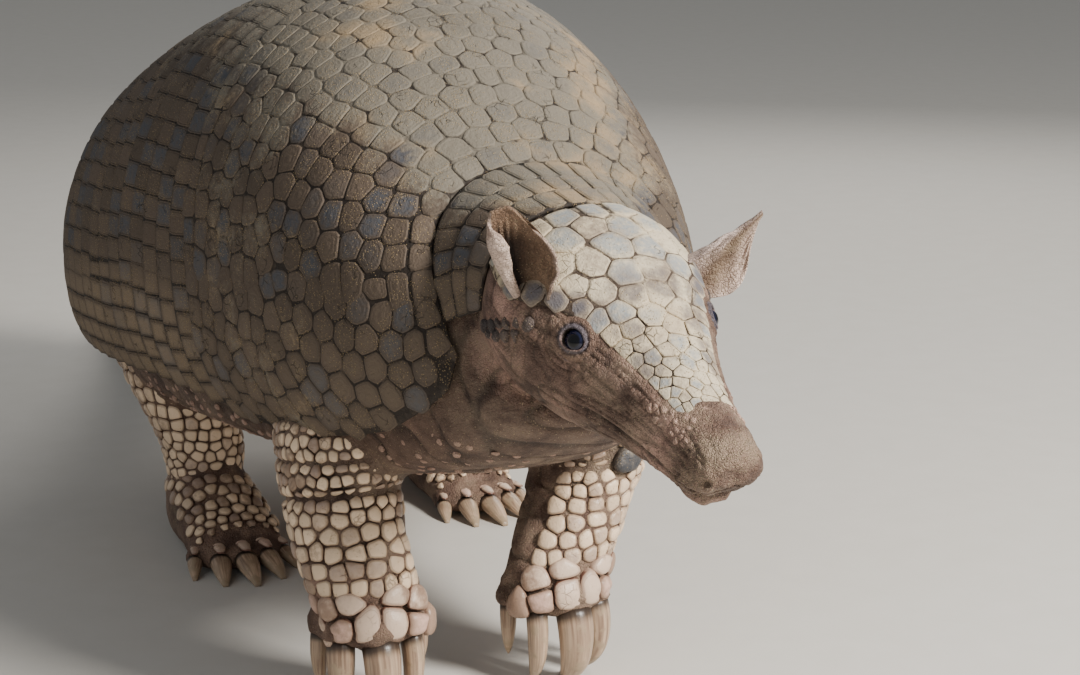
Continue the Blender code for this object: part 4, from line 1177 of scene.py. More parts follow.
@dataclass
class Carapace:
    """The shoulder shield, the movable bands and the hip shield, each a plate with its scutes."""
    scute: float = 0.0016
    shy: float = 0.0007
    gap: float = 0.012
    shoulder_rows: int = 15
    hip_rows: int = 15

    def surface(self, low: float, high: float, drop: float) -> Surface:
        """The outside of the plate that starts drop lower at place low and reaches full height at high."""
        def at(place: Array, angle: Array, inset: Array) -> Array:
            """Points of that outside."""
            rise = np.clip((place - low) / (high - low), -0.3, 1.0)
            front = 0.0034 * (1 - smooth(low - 0.05, low + 0.28, place)) if low < 1 else 0.0
            return trunk_surface(place, angle, drop * (1 - rise) + inset + front + self.shy)
        return at

    def plate(self, surface: Surface, low: float, high: float, steps: int) -> Solid:
        """The closed plate under the scutes, its top about half a scute's height below the surface."""
        place, share = grid(np.linspace(low, high, steps), np.linspace(-1, 1, ACROSS_PLATE))
        angle = share * (edge_angle(place) - 0.004)
        outer = surface(place, angle, self.scute * BASE_DEPTH)
        inner = trunk_surface(place, angle, PLATE)
        return closed_plate(outer, inner)

    def lining(self, limit: float) -> Solid:
        """The strip of dark hide that closes the gap between two plates, deep in it."""
        place, share = grid(limit + self.gap * np.linspace(-1.7, 1.7, 3), np.linspace(-1, 1, ACROSS_PLATE))
        angle = share * (edge_angle(place) - 0.010)
        return closed_plate(trunk_surface(place, angle, PLATE - 0.0012),
                            trunk_surface(place, angle, PLATE - 0.0004))

    def shield(self, name: str, low: float, high: float, rows: int, drop: float, dome: Dome,
               material: Material, seed: int) -> Object:
        """A shield of many rows."""
        surface = self.surface(low, high, drop)
        places = even_places(surface, low, high, rows, 1.2)
        wide = np.interp(places, (0.56, 2.0, 3.7, 6, 7.5, 8.7), (0.017, 0.0190, 0.0180, 0.018, 0.0175, 0.015))
        seeds = ringed_seeds(surface, places, edge_angle, wide, 1.0, 0.20, seed)
        scutes = ScuteField(surface, self.scute, dome, sides=18, cap=0.017, inset=self.scute, seed=seed,
                            **CLOSE_SET)
        base = self.plate(surface, low, high, 40)
        if low > SHIELD_START:
            base = merged([base, self.lining(low - self.gap)])
        return lay_scutes(name, scutes, seeds, material, base, shell_marks)

    def band(self, number: int, low: float, high: float, material: Material) -> Object:
        """One movable band: a single row of oblong scutes."""
        surface = self.surface(low, high, PLATE_STEP)
        seeds = band_seeds(surface, low, high, edge_angle, 0.0172, 0.10, number)
        scutes = ScuteField(surface, self.scute, Dome.PANEL, sides=20, cap=0.017, inset=self.scute,
                            seed=number, **CLOSE_SET)
        base = merged([self.plate(surface, low, high, 5), self.lining(low - self.gap)])
        return lay_scutes(f"band_{number:02d}", scutes, seeds, material, base, shell_marks)

    def build(self, material: Material) -> None:
        """Makes every plate."""
        shoulder = self.shield("shoulder_scutes", SHIELD_START, SHOULDER_END - self.gap, self.shoulder_rows,
                               0.001, Dome.ROSETTE, material, 11)
        place_piece(shoulder, "shell", "shoulder_shield")
        limits = np.linspace(SHOULDER_END, BANDS_END, BAND_COUNT + 1)
        for number in range(BAND_COUNT):
            band = self.band(number + 1, limits[number] + self.gap, limits[number + 1] - self.gap, material)
            place_piece(band, "shell", f"back_band_{number + 1:02d}")
        hip = self.shield("hip_scutes", BANDS_END + self.gap, HIP_END, self.hip_rows, PLATE_STEP,
                          Dome.CROWNED, material, 12)
        place_piece(hip, "shell", "hip_shield")


@dataclass
class NeckBands:
    """The short rows of scutes over the neck."""
    scute: float = 0.0018
    reach: float = math.radians(98)
    pitch: float = 0.0135

    def build(self, material: Material) -> None:
        """Makes the bands."""
        limits = np.linspace(0.06, 0.94, NECK_BANDS + 1)
        for number in range(NECK_BANDS):
            low, high = limits[number] + 0.01, limits[number + 1] - 0.01 + 0.05 * (number == NECK_BANDS - 1)

            def surface(share: Array, angle: Array, inset: Array, low: float = low,
                        high: float = high) -> Array:
                """The outside of this band, its rear edge a little proud."""
                rise = np.clip((share - low) / (high - low), -0.3, 1.2)
                return neck_surface(share, angle, inset - 0.0046 - 0.0016 * rise)
            seeds = band_seeds(surface, low, high, lambda _: self.reach, self.pitch, 0.16, 30 + number)
            share, angle = grid(np.linspace(low, high, 5), np.linspace(-self.reach, self.reach, 61))
            base = closed_plate(surface(share, angle, self.scute * BASE_DEPTH),
                                neck_surface(share, angle, -0.0016))
            scutes = ScuteField(surface, self.scute, Dome.PANEL, sides=20, cap=0.016, inset=self.scute,
                                seed=30 + number, **CLOSE_SET)
            place_piece(lay_scutes(f"nape_band_{number + 1}", scutes, seeds, material, base, shell_marks),
                        "shell", f"neck_band_{number + 1}")


# ---- the head shield ---------------------------------------------------------------------------------------
@dataclass
class HeadShield:
    """Uneven many-sided scutes over crown and snout, large in the middle and small towards the nose."""
    scute: float = 0.0017
    count: int = 60
    span: tuple = (0.0095, 0.1600)
    proud: float = 0.0007
    rounds: int = 30
    samples: int = 9000

    def size(self, distance: Array, angle: Array) -> Array:
        """How wide a scute is at a place, in metres."""
        middle = np.interp(distance, (0.010, 0.05, 0.09, 0.125, 0.160),
                           (0.026, 0.0245, 0.0180, 0.0120, 0.0078))
        return middle * (1 - 0.15 * smooth(0.4, 1.0, np.abs(angle) / head_edge_angle(distance)))

    def seeds(self) -> Seeds:
        """Fixed seeds along the rear rim and the sides, and the rest spread by repeated averaging.

        Each free seed moves to the mean of the sample places nearest to it, weighted by 1 / size^2.
        """
        low, high = self.span
        rng = np.random.default_rng(8)
        rear = np.linspace(-1, 1, 9)[1:-1] * 0.94
        side = np.array((0.040, 0.054, 0.067, 0.079, 0.090, 0.100, 0.1095, 0.118, 0.126, 0.134, 0.1415,
                         0.149))
        fixed_d = np.concatenate([np.full(len(rear), low + 0.0095), side, side + 0.002])
        fixed_s = np.concatenate([rear, np.full(len(side), 0.87), np.full(len(side), -0.87)])
        d = low + (high - low) * rng.random(self.samples)
        s = rng.random(self.samples) * 2 - 1
        girth = np.interp(d, HEAD_RINGS[:, 0], HEAD_RINGS[:, 1]) * head_edge_angle(d)
        keep = rng.random(self.samples) < girth / girth.max()
        d, s = d[keep], s[keep]
        spots = head_surface(d, s * head_edge_angle(d), 0.0)
        weight = 1 / self.size(d, s * head_edge_angle(d)) ** 2
        pick = rng.choice(len(d), self.count, replace=False, p=weight / weight.sum())
        free_d, free_s = d[pick], s[pick]
        for _ in range(self.rounds):
            all_d, all_s = np.concatenate([fixed_d, free_d]), np.concatenate([fixed_s, free_s])
            at = head_surface(all_d, all_s * head_edge_angle(all_d), 0.0)
            owner = ((spots[:, None] - at[None]) ** 2).sum(-1).argmin(1)
            total = np.bincount(owner, weight, len(all_d))
            mean_d = np.bincount(owner, weight * d, len(all_d)) / np.maximum(total, 1e-9)
            mean_s = np.bincount(owner, weight * s, len(all_d)) / np.maximum(total, 1e-9)
            alive = total[len(fixed_d):] > 0
            free_d = np.where(alive, mean_d[len(fixed_d):], free_d)
            free_s = np.where(alive, mean_s[len(fixed_d):], free_s)
        d, s = np.concatenate([fixed_d, free_d]), np.concatenate([fixed_s, free_s])
        near_side, near_rear, near_nose = np.abs(s) > 0.5, d < low + 0.03, d > high - 0.02
        ghost_d = np.concatenate([d[near_side], 2 * low - d[near_rear], 2 * high - d[near_nose]])
        ghost_s = np.concatenate([np.sign(s[near_side]) * 2 - s[near_side], s[near_rear], s[near_nose]])
        return Seeds.fenced(d, s * head_edge_angle(d), ghost_d, ghost_s * head_edge_angle(ghost_d))

    @staticmethod
    def marks(points: Array, _: Array) -> dict:
        """How dusty the head scutes are, and where grey shows: over the brow and down the snout's sides."""
        distance, angle, _ = Skin.head_place(points)
        grey = np.zeros(len(points))
        for far, turn, wide in ((0.046, 70, 0.0110), (0.058, 61, 0.0095), (0.069, 52, 0.0065),
                                (0.0775, 43, 0.0060),
                                (0.088, 36.5, 0.0070), (0.104, 28.5, 0.0080), (0.126, 34, 0.0090),
                                (0.082, 12, 0.0090)):
            gap = np.hypot(distance - far, (np.abs(angle) - math.radians(turn)) * 0.045)
            grey = np.maximum(grey, smooth(wide * 1.4, wide * 0.7, gap) * (0.5 if turn < 40 else 1.0))
        dust = np.clip(0.72 + 0.35 * field(points, 0.045, 6) - 0.40 * grey, 0, 1)
        return {"dust": dust, "pale": grey}

    def build(self, material: Material) -> None:
        """Makes the shield."""
        distance, share = grid(np.linspace(self.span[0] + 0.001, self.span[1] - 0.001, 60),
                                      np.linspace(-1, 1, 61))
        angle = share * (head_edge_angle(distance) - 0.02)
        depth = self.scute - self.proud
        base = closed_plate(head_surface(distance, angle,
                                         depth * (0.3 + 1.0 * smooth(0.080, 0.112, distance))),
                            head_surface(distance, angle, HEAD_PLATE))
        scutes = ScuteField(head_surface, self.scute, Dome.FLAT, gap=0.0003, corner=24.0, sides=28, cap=0.019,
                            inset=depth, uneven=0.28, seed=21)
        piece = lay_scutes("head_scutes", scutes, self.seeds(), material, base, self.marks)
        place_piece(piece, "head_scute", "head_shield")


# ---- the skin ----------------------------------------------------------------------------------------------
def ring_grid(surface: Surface, places: Array, sides: int, inset: Union[float, Callable]) -> Array:
    """Rings of a surface at places, (count, sides, 3), inset by a number or a function of place and angle."""
    place, angle = grid(places, np.linspace(-math.pi, math.pi, sides, endpoint=False))
    return surface(place, angle, inset(place, angle) if callable(inset) else inset)


def finger(root: Array, width: float, length: float, heading: float, lean: float) -> tuple:
    """A short round finger: its surface of place 0 to 2 and angle, its flat end's middle, and its directions.

    Args:
        root: Where it starts.
        width: Its half width.
        length: Its length past the root.
        heading: Degrees from straight ahead.
        lean: Degrees forward from straight down.

    Returns:
        Surface, end, down, forward and flank.
    """
    turn, tip = math.radians(heading), math.radians(lean)
    forward = np.array((math.sin(turn), -math.cos(turn), 0.0))
    down = forward * math.sin(tip) - UP * math.cos(tip)
    flank = np.array((math.cos(turn), math.sin(turn), 0.0))
    front = np.cross(down, flank)
    at = curve_through(np.array(((-0.9, 0.50), (0.0, 1.06), (1.0, 0.97))))

    def surface(place: Array, angle: Array, inset: Array) -> Array:
        """Points of the finger; angle 0 is its front."""
        along, size = np.moveaxis(at(place), -1, 0)
        along = along + np.maximum(place - 2, 0) + 0.9 * np.minimum(place, 0)
        radius = (width * size - inset)[..., None]
        return (root + down * (length * along)[..., None]
                + radius * (front * np.cos(angle)[..., None] + flank * np.sin(angle)[..., None])) + MOVE
    return surface, root + down * length, down, forward, flank


@dataclass
class Limbs:
    """The four legs' surfaces and the fingers and toes on them."""

    def front(self, label: str, folds: bool = True) -> Surface:
        """The front leg and foot, places 0 to 7, with or without its folds."""
        leg = limb_surface(FRONT_LEG, SIDES[label], FRONT_FOOT_Y[label], FRONT_FOOT_SHIFT[label],
                           FRONT_ROOT[label])

        def folded(place: Array, angle: Array, inset: Array) -> Array:
            """The leg with the folds that ring it above the wrist, at the elbow and between."""
            fold = 0.0040 * bump(place, 3.17 + 0.10 * np.cos(angle), 0.085)
            fold = fold + 0.0028 * bump(place, 2.455, 0.07) + 0.0022 * bump(place, 1.75, 0.07)
            return leg(place, angle, inset + fold)
        return folded if folds else leg

    def hind(self, label: str) -> Surface:
        """The hind leg, places 0 to 5."""
        return limb_surface(HIND_LEG, SIDES[label], HIND_FOOT_Y[label])

    def fingers(self, label: str) -> list:
        """Each front finger and the claw's sizes."""
        rings = ring_grid(self.front(label), np.array((7.0,)), 12, 0.0)
        centre = rings[0].mean(0) - MOVE - GAP * UP
        side, made = SIDES[label], []
        for across, along, width, length, half, deep, reach, start, end, heading in FRONT_DIGITS:
            knuckle = centre + np.array((-side * across, along, 0.004))
            made.append((finger(knuckle, width, length, -side * heading, start),
                         (half, deep, reach, start, end)))
        return made

    def toes(self, label: str) -> list:
        """Each hind toe and the nail's sizes."""
        side, made = SIDES[label], []
        for offset, along, width, half, deep, length in HIND_DIGITS:
            root = np.array((side * HIND_LEG[-1, 0] - side * offset, HIND_FOOT_Y[label] + along,
                             width * 1.05))
            made.append((finger(root, width, 0.012, -side * offset * TOE_SPREAD, 90), (half, deep, length)))
        return made


@dataclass
class Skin:
    """One skin over the body: the lofts of every part melted together, refined at the head, then creased."""
    cell: float = 0.0048
    coat: float = 0.0010
    lowest: float = 0.0003
    limbs: Limbs = None

    def lofts(self) -> Solid:
        """The closed runs of rings that the skin is melted from."""
        under = self.coat

        def head(part: Array, angle: Array, inset: Array) -> Array:
            """The head from its oblique start, hidden in the neck, to the nose."""
            start = head_start(angle) - 0.006
            distance = start + (HEAD_LENGTH - start) * part
            return head_surface(distance, angle, inset + head_inset(distance, angle))
        # surface, first place, last place, rings, corners a ring, depth
        runs = [(trunk_surface, 0.30, 9, 70, 96, lambda place, angle: flesh_inset(place, angle) + under),
                (head, 0, 1, 70, 72, 0.0), (neck_surface, -0.25, 1.3, 20, 72, 0.001),
                (tail_surface, 0, 6.98, 60, 40, under)]
        for label, side in SIDES.items():
            runs += [(self.limbs.front(label), 0, 7, 110, 48, under),
                     (self.limbs.hind(label), 0, 5, 40, 48, under),
                     (hind_foot_surface(side, HIND_FOOT_Y[label]), 0, 5, 40, 48, under)]
            runs += [(surface, 0, 2, 12, 24, under * 0.5)
                     for (surface, *_), _ in self.limbs.fingers(label) + self.limbs.toes(label)]
        return merged([closed_tube(ring_grid(surface, np.linspace(low, high, rings), sides, inset))
                       for surface, low, high, rings, sides, inset in runs])

    def melted(self) -> Mesh:
        """The lofts as one even mesh of cells."""
        points, faces = self.lofts()
        rough = make_piece("skin_lofts", points, faces)
        melt = rough.modifiers.new("melt", "REMESH")
        melt.mode, melt.voxel_size = "VOXEL", self.cell
        graph = bpy.context.evaluated_depsgraph_get()
        mesh = bpy.data.meshes.new_from_object(rough.evaluated_get(graph))
        bpy.data.objects.remove(rough)
        return mesh

    @staticmethod
    def trunk_place(points: Array) -> tuple[Array, Array]:
        """The trunk place and angle of any points: the ring whose plane is nearest, and the bearing in it."""
        table = np.linspace(0, 9, 181)
        x, y, z, tilt, half, up, down = np.moveaxis(TRUNK_AT(table), -1, 0)
        tilt = np.radians(tilt)
        local = points - MOVE
        off = np.abs((local[:, 1:2] - y) * np.cos(tilt) - (local[:, 2:3] - z) * np.sin(tilt))
        place = table[off.argmin(1)]
        x, y, z, tilt, half, up, down = np.moveaxis(TRUNK_AT(place), -1, 0)
        upward = (local[:, 1] - y) * np.sin(np.radians(tilt)) + (local[:, 2] - z) * np.cos(np.radians(tilt))
        return place, np.arctan2((local[:, 0] - x) / half, upward / np.where(upward > 0, up, down))

    @staticmethod
    def head_place(points: Array) -> tuple[Array, Array, Array]:
        """Distance from the nape, angle, and distance from the head's own line over its radius there."""
        local = (points - MOVE - NAPE) @ HEAD_TURN
        distance = -local[:, 1]
        place = np.interp(distance, HEAD_RINGS[:, 0], np.arange(len(HEAD_RINGS)))
        _, half, up, down = np.moveaxis(HEAD_AT(place), -1, 0)
        a, b = local[:, 0] / half, local[:, 2] / np.where(local[:, 2] > 0, up, down)
        return distance, np.arctan2(a, b), np.hypot(a, b)

    def build(self, material: Material) -> Object:
        """Melts, refines and creases the skin."""
        mesh = self.melted()
        shape = bmesh.new()
        shape.from_mesh(mesh)
        self._drop_hidden(shape)
        for level in range(2):
            self._refine(shape, level)
        shape.to_mesh(mesh)
        shape.free()
        points = self._points(mesh)
        edges = np.empty(len(mesh.edges) * 2, np.int32)
        mesh.edges.foreach_get("vertices", edges)
        points = self._relax(points, edges.reshape(-1, 2), 3)
        mesh.vertices.foreach_set("co", points.astype(np.float32).ravel())
        mesh.update()
        normal = np.empty(len(points) * 3, np.float32)
        mesh.vertex_normals.foreach_get("vector", normal)
        points, marks = self._crease(points, normal.reshape(-1, 3).astype(float))
        points[:, 2] = np.maximum(points[:, 2], self.lowest)
        mesh.vertices.foreach_set("co", points.astype(np.float32).ravel())
        write_marks(mesh, marks)
        mesh.materials.clear()
        mesh.materials.append(material)
        mesh.shade_smooth()
        mesh.name = "skin"
        return linked("skin", mesh)

    @staticmethod
    def _points(mesh: Mesh) -> Array:
        """The mesh's corners as an array."""
        flat = np.empty(len(mesh.vertices) * 3, np.float32)
        mesh.vertices.foreach_get("co", flat)
        return flat.reshape(-1, 3).astype(float)

    @staticmethod
    def _relax(points: Array, edges: Array, rounds: int) -> Array:
        """Moves each corner half way to the mean of its neighbours, a few times."""
        count = np.bincount(edges.ravel(), minlength=len(points))[:, None]
        for _ in range(rounds):
            total = np.stack([np.bincount(edges[:, 0], points[edges[:, 1], k], len(points))
                              + np.bincount(edges[:, 1], points[edges[:, 0], k], len(points))
                              for k in range(3)], -1)
            points = points * 0.5 + total / np.maximum(count, 1) * 0.5
        return points

    def _shape_points(self, shape: bmesh.types.BMesh) -> Array:
        """The edit mesh's corners as an array."""
        shape.verts.ensure_lookup_table()
        return np.array([v.co[:] for v in shape.verts])

    def _drop_hidden(self, shape: bmesh.types.BMesh) -> None:
        """Drops the skin deep under the shields, which nothing shows."""
        points = self._shape_points(shape)
        place, angle = self.trunk_place(points)
        hidden = (place > 0.9) & (place < 8.3) & (np.abs(angle) < edge_angle(place) - 0.35)
        distance, turn, radius = self.head_place(points)
        on_crown = (distance > 0.035) & (distance < 0.145) & (radius < 1.1)
        hidden |= on_crown & (np.abs(turn) < head_edge_angle(distance) - 0.30)
        bmesh.ops.delete(shape, geom=[shape.verts[i] for i in np.flatnonzero(hidden)], context="VERTS")

    def _refine(self, shape: bmesh.types.BMesh, level: int) -> None:
        """Halves the cells of the head twice, and of the front legs and the throat once."""
        points = self._shape_points(shape)
        distance, _, radius = self.head_place(points)
        fine = (distance > 0.022) & (radius < 1.25) & (distance < 0.21)
        if level == 0:
            fine |= (points[:, 1] < -0.31) & (points[:, 2] < 0.26)
        shape.edges.ensure_lookup_table()
        ends = np.array([(e.verts[0].index, e.verts[1].index) for e in shape.edges])
        both = fine[ends].all(1)
        bmesh.ops.subdivide_edges(shape, edges=[shape.edges[i] for i in np.flatnonzero(both)], cuts=1,
                                  use_grid_fill=True)

    @staticmethod
    def _mouth(points: Array, high: Array, distance: Array, middle: Array) -> tuple[Array, Array]:
        """The mouth across the front under the nose, and the lip below it, each 0 to 1.

        Args:
            points: The skin.
            high: Height over the head's own line.
            distance: Distance from the nape.
            middle: 1 in the middle of the face and 0 at its sides.

        Returns:
            Mouth and lip.
        """
        line = bump(high, -0.0148 + 0.0005 * field(points, 0.006, 6), 0.0015)
        mouth = line * smooth(0.172, 0.184, distance) * middle
        return mouth, bump(high, -0.0196, 0.0026) * smooth(0.172, 0.188, distance) * middle

    @staticmethod
    def _holes(points: Array, side: Array) -> tuple[Array, Array, Array]:
        """The nostrils, the eye sockets and the wrinkles that ring their lower half, each 0 to 1."""
        nostril, socket, ring = np.zeros((3, len(points)))
        for turn in SIDES.values():
            hole = np.array((turn * 0.0150, -0.1930, 0.0010)) @ HEAD_TURN.T + NAPE + MOVE
            nostril = np.maximum(nostril, smooth(0.0038, 0.0016, np.linalg.norm(points - hole, axis=1)))
            gap = np.linalg.norm(points - head_surface(EYE_PLACE, math.radians(EYE_ANGLE) * turn, 0.0),
                                 axis=1)
            socket = np.maximum(socket, smooth(0.0125, 0.0085, gap))
            bend = gap + 0.0016 * field(points, 0.008, 14)
            wave = smooth(0.5, 1.0, np.sin(bend * 2 * math.pi / 0.0042))
            ring = np.maximum(ring, smooth(0.013, 0.0145, gap) * smooth(0.027, 0.018, gap) * wave
                              * (side > math.radians(EYE_ANGLE)))
        return nostril, socket, ring

    def _crease(self, points: Array, normal: Array) -> tuple[Array, dict]:
        """Folds, wrinkles, the mouth, the nostrils and the eye sockets, as moves along the normal.

        Args:
            points: The smooth skin.
            normal: Its outward normals.

        Returns:
            The creased skin, and the values that its finish reads.
        """
        distance, angle, radius = self.head_place(points)
        on_head = smooth(0.020, 0.040, distance) * (radius < 1.3)
        side = np.abs(angle)
        move = np.zeros(len(points))
        along = np.stack([distance * 0.22, angle * 0.050, np.zeros_like(distance)], axis=-1)
        steep = np.stack([distance, angle * 0.016, np.ones_like(distance)], axis=-1)
        cheek = on_head * smooth(0.75, 1.05, side) * smooth(0.196, 0.180, distance)
        lines = cheek * smooth(0.20, 0.0, np.abs(field(along, 0.0052, 2)))
        lines = np.maximum(lines, 0.7 * cheek * smooth(0.16, 0.0, np.abs(field(steep, 0.0070, 3))))
        ridge = cheek * smooth(0.30, 0.75, np.abs(field(along, 0.0052, 2))) * smooth(0.16, 0.05, distance)
        move += 0.0005 * on_head * field(points, 0.007, 3) + 0.0005 * ridge
        # the line of the jaw
        line = math.radians(116) + 0.10 * np.sin(distance * 40)
        jaw = bump(side, line, 0.05) * smooth(0.085, 0.12, distance) * on_head
        move -= 0.0020 * jaw
        # the mouth across the front under the nose, the lip below it, and the nostrils
        local = (points - MOVE - NAPE) @ HEAD_TURN
        middle = on_head * smooth(0.0150, 0.0115, np.abs(local[:, 0]))
        mouth, lip = self._mouth(points, local[:, 2], distance, middle)
        move -= 0.0065 * mouth
        move += (0.0036 + 0.0008 * field(points, 0.004, 7)) * lip
        snout = smooth(0.162, 0.180, distance) * (radius < 1.4)
        move += snout * (0.0008 * field(points, 0.0048, 11) + 0.0006 * field(points, 0.0026, 12))
        nostril, socket, ring = self._holes(points, side)
        move -= 0.0045 * socket + 0.0035 * nostril
        lines = np.maximum(lines, 0.8 * ring)
        # folds across the throat, chest and belly, and round the legs
        below = 1 - np.clip(on_head, 0, 1)
        leg = smooth(0.155, 0.125, points[:, 2])
        level = np.abs(field(points * np.array((0.30, 0.30, 1.0)), 0.0085, 15))
        across = np.abs(field(points * np.array((0.22, 1.0, 0.30)), 0.012, 16))
        folds = below * (leg * smooth(0.26, 0.0, level) + (1 - leg) * smooth(0.24, 0.0, across))
        move -= 0.0016 * folds + 0.0011 * lines
        move += 0.0012 * below * field(points, 0.016, 5)
        # 0.40 * ridge puts a painted highlight on the cheek's wrinkle ridges through the pink mark
        pink = np.clip(bump(distance, 0.157, 0.014) * smooth(0.7, 1.0, side) * on_head * 0.8 + 0.9 * lip
                       + 0.40 * ridge
                       + 0.6 * bump(distance, 0.035, 0.02) * (side > 1.0) * (radius < 1.4)
                       + 0.25 * field(points, 0.02, 17), 0, 1)
        # the dark mark is painted shade: in the mouth, the nostrils and the eye sockets, along the jaw, in
        # the wrinkles and folds, under the head, and on the body's skin above the legs under the shell
        dark = np.clip(0.95 * mouth + 0.8 * jaw + 0.5 * socket + 0.9 * nostril + 0.60 * lines + 0.5 * folds
                       + 0.30 * on_head * smooth(1.9, 2.6, side) + 0.42 * below * (1 - leg), 0, 1)
        sand = np.clip(snout * 0.9 + 0.20, 0, 1)
        dust = np.clip(0.35 + 0.4 * field(points, 0.06, 7) + 0.3 * snout, 0, 1)
        cool = 0.6 * smooth(0.9, 0.2, socket) * (socket > 0.01)
        slant = 0.009 * smooth(0.002, -0.016, local[:, 2]) * smooth(0.160, 0.190, distance) * on_head
        return points + normal * move[:, None] + HEAD_TURN[:, 1] * slant[:, None], {
            "pink": pink, "dark": dark, "sand": sand, "dust": dust, "cool": cool}


# ---- eyes, ears and claws ----------------------------------------------------------------------------------
@dataclass
class Eyes:
    """The wet balls and the ring of lid round each."""
    ball_rows: int = 40
    lid_rows: int = 40
    lid_sides: int = 96

    def ball(self, label: str, material: Material) -> None:
        """A ball whose clear front swells a little."""
        side = SIDES[label]
        turn = math.radians(EYE_ANGLE) * side
        centre = head_surface(EYE_PLACE, turn, EYE_SUNK)
        _, _, normal = slopes_of(head_surface, EYE_PLACE, turn, 0.0)
        tilt, spin = grid(np.linspace(0.02, math.pi - 0.02, self.ball_rows),
                                 bearings(64))
        flank = np.cross(normal, UP)
        flank /= np.linalg.norm(flank)
        top = np.cross(flank, normal)
        swell = 1 + 0.04 * smooth(0.75, 0.25, tilt)
        ring = (np.cos(tilt)[..., None] * normal + np.sin(tilt)[..., None] * (
            np.cos(spin)[..., None] * flank + np.sin(spin)[..., None] * top))
        points, faces = closed_tube(centre + EYE_RADIUS * 0.985 * swell[..., None] * ring)
        out = np.concatenate([np.sin(tilt).ravel() * (np.cos(tilt).ravel() > 0) + (np.cos(tilt).ravel() <= 0),
                              [0.0, 1.0]])
        place_piece(make_piece(f"eyeball_{label}", points, faces, material, {"out": out}), "eye",
                    f"eye_{label}")

    def lids(self, label: str) -> Solid:
        """The lids: rings round the eye over the head's surface, rising at the ball's edge, sinking outside.

        The profile gives, from the inner margin out, the distance from the eye's middle and the height over
        the head's surface; the opening is a little longer than high, with its front corner drawn out.
        """
        side = SIDES[label]
        profile = np.array(((5.2, -2.4), (5.35, -0.6), (5.6, 0.9), (6.0, 1.6), (6.6, 1.8), (7.2, 1.5),
                            (7.7, 0.8),
                            (8.2, 0.3), (8.8, 0.5), (9.8, 0.7), (11.2, 0.3), (12.8, -0.5),
                            (14.5, -2.0))) / 1000
        place, spin = grid(np.linspace(0, len(profile) - 1, self.lid_rows),
                                  bearings(self.lid_sides))
        away, high = np.moveaxis(curve_through(profile)(place), -1, 0)
        front = bump(np.cos(spin), 1.0, 0.18)
        margin = smooth(12, 0, place)
        away = away * (1 + margin * (0.10 * np.abs(np.cos(spin)) - 0.08 * np.abs(np.sin(spin))
                                     + 0.22 * front))
        turn = math.radians(EYE_ANGLE) * side
        du, dv, _ = slopes_of(head_surface, EYE_PLACE, turn, 0.0)
        rise = -side
        u = EYE_PLACE + away * np.cos(spin) / np.linalg.norm(du)
        v = turn + rise * away * np.sin(spin) / np.linalg.norm(dv)
        points = head_surface(u, v, 0.0)
        _, _, normal = slopes_of(head_surface, u, v, 0.0)
        wrinkle = 0.00034 * np.sin(spin * 13 + 3 * np.sin(spin * 2)) * bump(place, 7.5, 2.6)
        points = points + normal * (high + wrinkle)[..., None]
        return points.reshape(-1, 3), grid_faces(self.lid_rows, self.lid_sides, True).tolist()

    def build(self, eye: Material, lid: Material) -> None:
        """Makes both eyes."""
        for label in SIDES:
            self.ball(label, eye)
            points, faces = self.lids(label)
            count = len(points)
            rows = np.repeat(np.arange(self.lid_rows), self.lid_sides)
            spin = np.tile(bearings(self.lid_sides), self.lid_rows)
            corner = bump(np.cos(spin), 1.0, 0.12) * smooth(16, 8, rows)
            below = smooth(0.1, -0.6, np.sin(spin)) * bump(rows, 10, 4)
            marks = {"pink": np.clip(0.8 * corner + 0.45 * below, 0, 1),
                     "dark": np.clip(smooth(9, 5, rows) * 0.9 + 0.35 * bump(rows, 27, 3) * (1 - below), 0, 1),
                     "cool": smooth(30, 20, rows) * (0.85 - 0.6 * corner - 0.4 * below),
                     "sand": np.full(count, 0.15), "dust": np.full(count, 0.15)}
            place_piece(make_piece(f"lids_{label}", points, faces, lid, marks), "skin")


@dataclass
class FaceBumps:
    """The small soft bumps at the end of the head shield, and the two rows of dark warts behind the ear."""

    @staticmethod
    def marks(points: Array, _: Array) -> dict:
        """Values that the finish reads."""
        return {"pink": 0.5 + 0.5 * field(points, 0.010, 2), "dark": np.zeros(len(points)),
                "sand": np.full(len(points), 0.55), "dust": np.full(len(points), 0.25)}

    def build(self, bump_skin: Material, wart: Material) -> None:
        """Makes both."""
        rng = np.random.default_rng(15)
        row, column = grid(np.arange(7), np.arange(-12, 13))
        distance = 0.1450 + 0.0044 * row + 0.0030 * (rng.random(row.shape) - 0.5)
        angle = (column + 0.5 * (row % 2) + 0.7 * (rng.random(row.shape) - 0.5)) * 0.165
        inside = (np.abs(angle) < head_edge_angle(distance) + 0.04) & (distance < 0.161)
        ghost = inside | (np.abs(angle) > 1.25) | (rng.random(row.shape) < 0.2) | (
            distance > 0.166 + 0.006 * (np.abs(angle) > 0.5))
        seeds = Seeds(distance.ravel(), angle.ravel(), ghost.ravel())
        scutes = ScuteField(head_surface, height=0.0008, dome=Dome.PEBBLE, gap=0.0005, corner=6.0, sides=12,
                            cap=0.0028, inset=0.0006, uneven=0.7, seed=31)
        place_piece(lay_scutes("snout_bumps", scutes, seeds, bump_skin, extra_marks=self.marks), "skin")
        for label, side in SIDES.items():
            first = np.array((0.0640, 0.0580, 0.0510, 0.0445, 0.0380, 0.0310, 0.0602, 0.0525, 0.0444, 0.0355,
                              0.0267))
            second = side * np.radians((75, 80, 85.5, 90, 95.5, 100, 87, 92, 97, 101.5, 105.5))
            seeds = Seeds.fenced(first, second, np.tile(first, 2),
                                 np.concatenate([second + side * 0.21, second - side * 0.21]))
            scutes = ScuteField(head_surface, height=0.0018, dome=Dome.PEBBLE, gap=0.0008, corner=7.0,
                                sides=16, cap=0.0052, inset=0.0002, uneven=0.3, seed=33)
            place_piece(lay_scutes(f"neck_warts_{label}", scutes, seeds, wart, extra_marks=self.marks),
                        "skin")


